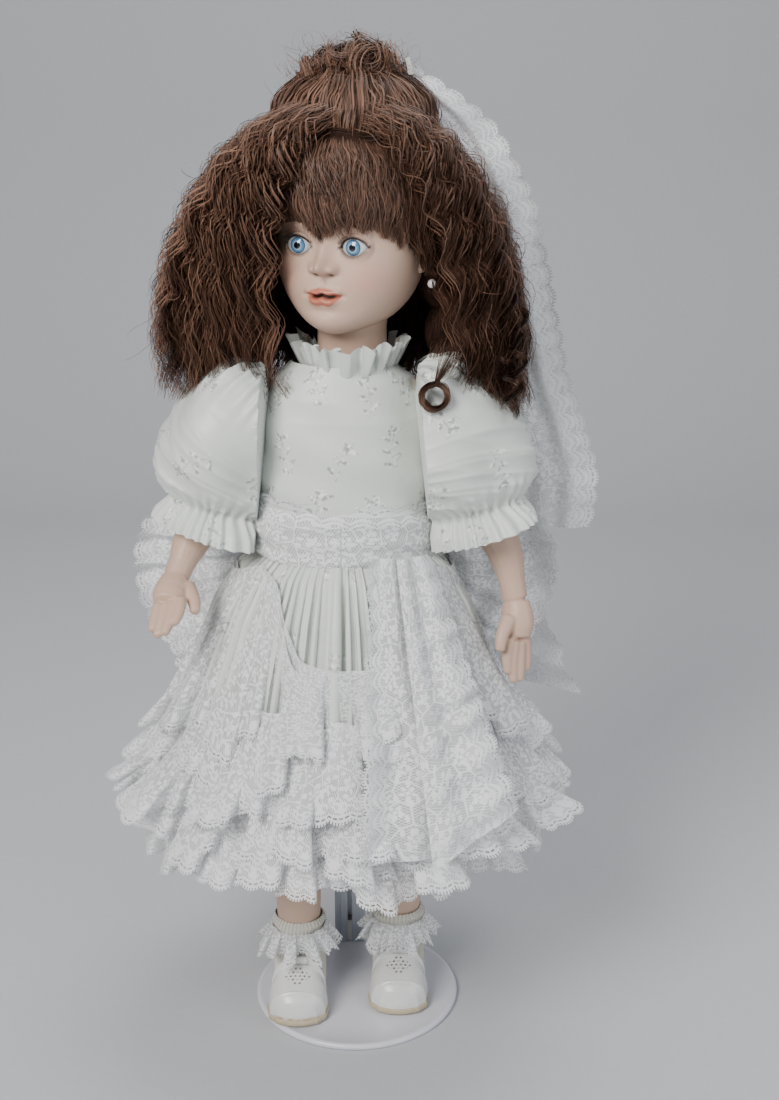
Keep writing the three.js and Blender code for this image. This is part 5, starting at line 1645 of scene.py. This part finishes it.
def make_bow(lace):
    """The bow behind the waist: two standing lace loops with scalloped outer edges, a tail and a knot."""
    at = middle("sash_bow")
    low, high = corners("sash_bow")
    top = high[2] - 0.004
    for side, sign in SIDES.items():
        edge = abs((high[0] if sign > 0 else low[0]) - at[0])
        for layer in range(2):
            rim = [(0.86, 0.0), (1.06, -0.022), (1.10, -0.050), (1.03, -0.080), (0.86, -0.104)]
            y = low[1] + 0.006 + 0.014 * layer
            outer = [(at[0] + sign * edge * (f - 0.10 * layer), y - 0.006 * k, top + dz + 0.008 * layer)
                     for k, (f, dz) in enumerate(rim)]
            inner = [(at[0] + sign * (0.018 + 0.006 * k), y + 0.004, at[2] + 0.016 - 0.012 * k)
                     for k in range(len(rim))]
            piece = panel(f"bow_{side}_{'ab'[layer]}", inner, outer, lace, folds=5, depth=0.0045,
                          seed=600 + 10 * layer + sign,
                          out=(0.1 * sign, 1,
                               0.1), rows=420, columns=110, scallop_sides=False,
                          pleats=3.5, pleat_depth=0.0040)
            if side == "right" and layer == 0:
                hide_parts("sash_bow")
    tail_in = [(at[0] + 0.050, 0.090, at[2] + 0.010), (at[0] + 0.070, 0.098, at[2] - 0.050),
               (at[0] + 0.080, 0.104, at[2] - 0.115)]
    tail_out = [(at[0] + 0.118, 0.070, at[2] - 0.010), (at[0] + 0.134, 0.066, at[2] - 0.070),
                (at[0] + 0.155, 0.062, at[2] - 0.118)]
    panel("bow_tail_left", tail_in, tail_out, lace, folds=3, depth=0.004, seed=650, out=(0.5, 1, 0), rows=360,
          columns=110,
          scallop_sides=False)
    wide, tall = 0.016, 0.014
    path = [(-wide, 0.004), (0, high[1] - low[1]), (wide, 0.004)]
    panel("bow_knot", [(at[0] + x, low[1] + y, at[2] + tall) for x, y in path],
          [(at[0] + x, low[1] + y, at[2] - tall) for x,
           y in path], lace, folds=3, depth=0.001, seed=640, out=(0, 1, 0),
          rows=120, columns=40, scallop_sides=False)


def make_streamer(lace):
    """The lace ends that fall from the sash over the doll's left front."""
    low = corners("sash_streamer")[0]
    start = corners("sash")[0][2] + 0.006
    count = 7
    heights = np.linspace(start, low[2] - 0.008, count)
    reach = np.array([0.047, 0.060, 0.074, 0.089, 0.105, 0.120, 0.131])
    k = np.arange(count)
    ends = (
        (0.012 - 0.0008 * k, 0.026 + 0.0040 * k, 0.000, 0.000, 2.2),
        (0.026 + 0.0035 * k, 0.044 + 0.0085 * k, -0.004, 0.012, 3.2),
    )
    for index, (near, far, front, side, folds) in enumerate(ends):
        left = [(x, -(r - front), z) for x, r, z in zip(near, reach, heights)]
        right = [(x, -(r - front - side - 0.0022 * j), z + 0.004 * index * j) for j,
                 (x, r, z) in enumerate(zip(far, reach, heights))]
        if index == 0:
            left, right = right, left
        piece = panel(f"streamer_{'ab'[index]}", left, right, lace, folds=folds * 2, depth=0.0026,
                      seed=700 + index,
                      out=(0.1, -1, 0.3), rows=420, columns=90, scallop_sides=False,
                      pleats=1.2 + 0.6 * index, pleat_depth=0.0048)
        if index == 0:
            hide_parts("sash_streamer")


# ---- Hands ----

def fused(name, parts, material, voxel=0.0007, passes=4):
    """Several overlapping closed forms fused into one smooth skin."""
    verts, faces, count = [], [], 0
    for points in parts:
        rows, columns = points.shape[:2]
        verts.append(points.reshape(-1, 3))
        i, j = np.meshgrid(np.arange(rows - 1), np.arange(columns), indexing="ij")
        after = (j + 1) % columns
        quads = np.stack([count + i * columns + j, count + i * columns + after,
                          count + (i + 1) * columns + after,
                          count + (i + 1) * columns + j], -1).reshape(-1, 4)
        faces += quads.tolist()
        faces.append([count + k for k in range(columns)][::-1])
        faces.append([count + (rows - 1) * columns + k for k in range(columns)])
        count += rows * columns
    mesh = bpy.data.meshes.new(name)
    mesh.from_pydata(np.concatenate(verts).tolist(), [], faces)
    mesh.materials.append(material)
    piece = bpy.data.objects.new(name, mesh)
    bpy.context.scene.collection.objects.link(piece)
    remesh = piece.modifiers.new("fuse", "REMESH")
    remesh.mode = "VOXEL"
    remesh.voxel_size = voxel
    remesh.use_smooth_shade = True
    calm = piece.modifiers.new("calm", "SMOOTH")
    calm.factor = 0.5
    calm.iterations = passes
    return piece


def rod(points, radii, count=24, sides=16, flat=1.0, up=(0, -1, 0)):
    line = curve_through(points, count)
    size = np.interp(np.linspace(0, 1, count), np.linspace(0, 1, len(radii)), radii)
    size[0] *= 0.5
    size[-1] *= 0.45
    return tube(line, size, sides, up=up, flat=flat)


# Places of each hand in millimetres: elbow, forearm, wrist, palm, then finger roots and tips, and the thumb
HANDS = {
    "right": {
        "arm": [(-90, -8, 338), (-99, -19, 322), (-106, -32, 306)],
        "palm": [(-105, -32, 307), (-107.5, -41, 301), (-109, -50, 297)],
        "fingers": [
            ((-101, -49, 300), (-101, -58, 295), (-103, -66, 290.5)),
            ((-105, -51, 298), (-106, -62, 291.5), (-108, -71, 286)),
            ((-109.5, -51, 296.5), (-111, -62, 289.5), (-112.5, -70, 284)),
            ((-113.5, -49, 296), (-115, -58, 290), (-116, -65, 285.5)),
        ],
        "thumb": ((-99, -36, 304), (-94, -44, 298), (-92, -52, 292)),
        "up": (0.1, -0.5, 0.86),
    },
    "left": {
        "arm": [(82, -8, 338), (93, -12, 314), (99, -18, 287)],
        "palm": [(99, -18, 288), (100, -22, 276), (100, -25, 266)],
        "fingers": [
            ((95, -29, 268), (93.5, -32, 256), (94, -34, 246)),
            ((98, -28, 266), (97, -31, 252), (97.5, -34, 240)),
            ((101.5, -26, 265), (101.5, -29, 252), (101.5, -32, 240)),
            ((104.5, -23, 266), (105.5, -25, 255), (105.5, -27, 245)),
        ],
        "thumb": ((95, -26, 280), (90, -34, 271), (88.5, -38, 262)),
        "up": (-0.5, -0.86, 0.0),
    },
}


def make_hand(side, bisque):
    place = HANDS[side]
    scaled = {key: np.array(place[key], float) * MM for key in ("arm", "palm", "fingers", "thumb")}
    parts = [
        rod(scaled["arm"], [0.0125, 0.0122, 0.0105, 0.0082, 0.0078], up=place["up"], flat=1.0),
        rod(scaled["palm"], [0.0070, 0.0084, 0.0086, 0.0068], up=place["up"], flat=1.22),
        rod(scaled["thumb"], [0.0052, 0.0046, 0.0038, 0.0030], up=place["up"]),
    ]
    parts += [rod(finger, [0.0040, 0.0037, 0.0033, 0.0027], up=place["up"]) for finger in scaled["fingers"]]
    hand = fused(f"bisque_hand_{side}", parts, bisque, passes=9)
    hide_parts(f"forearm_{side}")
    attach(hand, f"arm_{side}")


# ---- Legs, socks and shoes ----

def make_leg(side, bisque, knit, lace, leather, sole_paint):
    sign = SIDES[side]
    body = f"leg_{side}"
    knee = corners(f"lower_leg_{side}")[1][2]
    shoe_low, shoe_high = corners(f"shoe_upper_{side}")
    x = (shoe_low[0] + shoe_high[0]) / 2
    ankle_y = (corners(f"sock_lace_{side}")[0][1] + corners(f"sock_lace_{side}")[1][1]) / 2
    calf = rod(
        [(x, ankle_y, 0.030), (x, ankle_y, 0.06), (x, ankle_y - 0.001, 0.10), (x, ankle_y * 0.4, knee)],
        [0.0140, 0.0142, 0.0150, 0.0163, 0.0168, 0.0165], count=60, sides=64,
    )
    leg = fused(f"bisque_leg_{side}", [calf], bisque, voxel=0.0012, passes=3)
    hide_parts(f"lower_leg_{side}")
    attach(leg, body)

    rows, columns = 200, 90
    turn = np.linspace(0, 2 * math.pi, rows, endpoint=False)[:, None]
    height = np.linspace(0.014, corners(f"sock_{side}")[1][2] + 0.003, columns)[None]
    rib = 0.00035 * np.cos(40 * turn)
    slump = 0.0006 * np.sin(height * 560 + 1.5 * np.sin(turn * 2 + sign)) * smoothstep(0.02, 0.04, height)
    sock_radius = 0.0168
    radius = sock_radius + 0.0006 * np.sin(height * 90) + rib + slump
    roll = smoothstep(height.max() - 0.004, height.max(), height) * 0.0012
    radius = radius + 0.0010 * np.exp(-(((height - height.max() + 0.003) / 0.002) ** 2)) - roll
    px = x + radius * np.cos(turn)
    py = ankle_y + radius * np.sin(turn)
    pz = np.broadcast_to(height, px.shape)
    u = np.broadcast_to(turn * 16.5, px.shape)
    v = np.broadcast_to(height / MM, px.shape)
    sock = mesh_piece(f"rib_sock_{side}", np.stack([px, py, pz], 2).reshape(-1, 3),
                      grid_faces(rows, columns, True), knit,
                      np.stack([u.ravel(), v.ravel()], 1))
    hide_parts(f"sock_{side}")
    declare_cloth(sock, body)

    lace_low, lace_high = corners(f"sock_lace_{side}")
    spread = (lace_high[0] - lace_low[0]) / 2

    def circle(size, level, sway=0.0):
        def place(s):
            t = 2 * math.pi * s
            return np.stack([x + size * np.cos(t), ankle_y + size * np.sin(t),
                             level + sway * np.sin(7 * t + sign)], 1)
        return place

    frill, size = lace_strip(
        f"sock_frill_{side}", circle(0.0176, lace_high[2] - 0.001),
        circle(spread - 0.0015, lace_low[2] - 0.001, 0.0028),
        outward(), lace, folds=11, depth_of_fold=0.0042, seed=800 + sign, rows=900, columns=20,
        share_power=0.8,
    )
    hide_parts(f"sock_lace_{side}")
    declare_strip(frill, body=body)
    make_shoe(side, x, shoe_low, shoe_high, leather, sole_paint, body)


def shoe_outline(share, wide):
    """Half-width of a shoe at each share of its length, heel to toe."""
    return wide * np.interp(share, [0, 0.04, 0.12, 0.3, 0.5, 0.7, 0.86, 0.95, 0.99, 1.0],
                            [0.0, 0.42, 0.68, 0.80, 0.88, 1.0, 0.93, 0.66, 0.3, 0.0])


def make_shoe(side, x, low, high, leather, sole_paint, body):
    toe, heel = low[1] - 0.001, high[1] - 0.004
    wide = (high[0] - low[0]) / 2 - 0.0006
    base = low[2]
    length, around = 230, 200
    t = np.linspace(0, 1, length) ** 0.9
    share = 0.5 - 0.5 * np.cos(math.pi * t)
    half = shoe_outline(share, wide)[:, None]
    y = (heel + (toe - heel) * share)[:, None]
    tall = np.interp(share, [0, 0.05, 0.2, 0.38, 0.52, 0.64, 0.78, 0.9, 0.97, 1.0],
                     [0.019, 0.025, 0.0265, 0.0275, 0.0275, 0.0235, 0.0195, 0.016, 0.0115, 0.004])[:, None]
    tall = np.convolve(np.pad(tall[:, 0], 6, mode="edge"), np.ones(13) / 13, mode="valid")[:, None]
    angle = np.linspace(-0.06 * math.pi, 1.06 * math.pi, around)[None]
    bulge = np.abs(np.cos(angle)) ** 0.72 * np.sign(np.cos(angle))
    px = x + half * bulge
    pz = base + np.maximum(tall * np.sign(np.sin(angle)) * np.abs(np.sin(angle)) ** 0.78, -0.0006)
    py = np.broadcast_to(y, px.shape)
    across = (px - x) / MM
    along = (heel - py) / MM
    row_pitch = 3.0
    level = (along - 36) / row_pitch * 1.25
    k = np.round(level)
    shift = 0.5 * (k % 2)
    slot_at = across / row_pitch - shift
    near = np.hypot((level - k) * row_pitch / 1.25, (slot_at - np.round(slot_at)) * row_pitch)
    vamp = (np.abs(across) / 8.5 + np.abs(along - 43) / 7.5 < 1) & (pz > base + 0.010)
    # The mark 'hole' is coloured near-black by the material: painted shade in the perforations and cut-outs.
    hole = smoothstep(0.78, 0.5, near) * vamp
    for centre in (-1, 1):
        tear = np.hypot((across - centre * 13.6) / 2.2, (along - 27) / (5.0 - 1.6 * np.sign(along - 27)))
        hole = np.maximum(hole, smoothstep(1.08, 0.92, tear) * (pz > base + 0.006))
    pz = pz - 0.0007 * hole
    seam = np.exp(-(((along - 31) / 0.5) ** 2)) + np.exp(-(((along - 54.5) / 0.5) ** 2))
    pz = pz + 0.0004 * seam * (pz > base + 0.006)
    mouth = np.hypot((px - x) / (wide * 0.62), (py - (heel - 0.0175)) / 0.0150)
    inside = smoothstep(1.0, 0.88, mouth) * (pz > base + 0.012)
    rim = np.exp(-(((mouth - 1.06) / 0.07) ** 2)) * (pz > base + 0.012)
    pz = pz + 0.0011 * rim - 0.020 * inside
    worn = smoothstep(base + 0.003, base, pz) * smoothstep(0.86, 0.96,
                                                           share[:, None]) * (1 if side == "right" else 0.15)
    points = np.stack([px, py, pz], 2).reshape(-1, 3)
    upper = mesh_piece(f"leather_upper_{side}", points, grid_faces(length, around), leather,
                       marks={"hole": hole, "worn": np.broadcast_to(worn, px.shape)})
    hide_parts(f"shoe_upper_{side}")
    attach(upper, body)

    sole_low, sole_high = corners(f"shoe_sole_{side}")
    outline = shoe_outline(share, wide + 0.0008)
    right_edge = np.stack([x + outline, heel + 0.0008 + (toe - 0.0016 - heel) * share], 1)
    left_edge = np.stack([x - outline, right_edge[:, 1]], 1)[::-1]
    edge = np.concatenate([right_edge, left_edge])
    layers = [(0.985, sole_low[2]), (1.0, sole_low[2] + 0.0006), (1.0, sole_high[2] - 0.0004),
              (0.975, sole_high[2] + 0.0004)]
    centre = np.array([x, (toe + heel) / 2])
    stack = [np.column_stack([centre + (edge - centre) * grow, np.full(len(edge), z)]) for grow, z in layers]
    stack = [np.column_stack([centre + (edge - centre) * 0.02, np.full(len(edge), sole_low[2])])] + stack
    stack.append(np.column_stack([centre + (edge - centre) * 0.02,
                                  np.full(len(edge), sole_high[2] + 0.0004)]))
    points = np.stack(stack, 1)
    sole = mesh_piece(f"sole_{side}_cream", points.reshape(-1, 3), grid_faces(len(edge), len(stack), True),
                      sole_paint)
    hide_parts(f"shoe_sole_{side}")
    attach(sole, body)

    strap_y = heel - 0.034
    arc = np.linspace(-0.12, math.pi + 0.12, 50)
    over = 0.0245 * np.clip(np.sin(arc), 0, 1) ** 0.8
    strap = np.stack([x + wide * 0.83 * np.cos(arc), strap_y - 0.002 * np.sin(arc), base + 0.005 + over], 1)
    band = tube(strap, np.full(50, 0.0013), 12, flat=1.6)
    parts = [band]
    for k in range(5):
        off = (k - 2) * 0.0023
        centre = np.array([x + off, strap_y - 0.0025 - 0.0004 * (2 - abs(k - 2)),
                           base + 0.0300 - 0.0006 * abs(k - 2)])
        parts.append(rod([centre - [0, 0, 0.0026], centre, centre + [0, 0, 0.0026]], [0.0012, 0.0026, 0.0012],
                         count=12, sides=16))
    knot = fused(f"strap_knot_{side}", parts, leather, voxel=0.0005, passes=2)
    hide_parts(f"shoe_tie_{side}")
    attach(knot, body)


# ---- The whole doll ----

def main():
    make_camera()
    make_studio()
    satin = satin_material("ivory_satin", (0.73, 0.77, 0.72))
    lace = lace_material("floral_lace")
    veil_lace = lace_material("veil_lace", net_alpha=0.9)
    organza = organza_material("organza")
    bisque = bisque_material("bisque")
    painted = bisque_material("painted_bisque", painted=True)
    hair = hair_material("auburn_hair")
    coat = painted_metal_material()
    steel = steel_material()
    vinyl = vinyl_material()
    calico = calico_material()
    leather = leatherette_material()
    make_stand(coat, steel, vinyl)
    for node in ("torso", "upper_arm_right", "upper_arm_left", "thigh_right", "thigh_left"):
        dress_node(node, calico)
    dress_node("shoulder_plate", bisque)
    make_skirt(satin, organza)
    make_flounces(lace)
    make_bodice(satin)
    make_sash(satin, lace)
    make_bow(lace)
    make_streamer(lace)
    make_head(bisque, painted, eye_material(), pearl_material(),
              paint_material("brow_paint", (0.16, 0.085, 0.05)),
              paint_material("lash_paint", (0.012, 0.008, 0.007)))
    make_hair(hair, hair_shadow_material())
    make_veil(veil_lace)
    sole_paint = paint_material("sole_cream", (0.36, 0.31, 0.21))
    knit = knit_material()
    for side in SIDES:
        make_sleeve(side, satin)
        make_hand(side, bisque)
        make_leg(side, bisque, knit, lace, leather, sole_paint)


main()
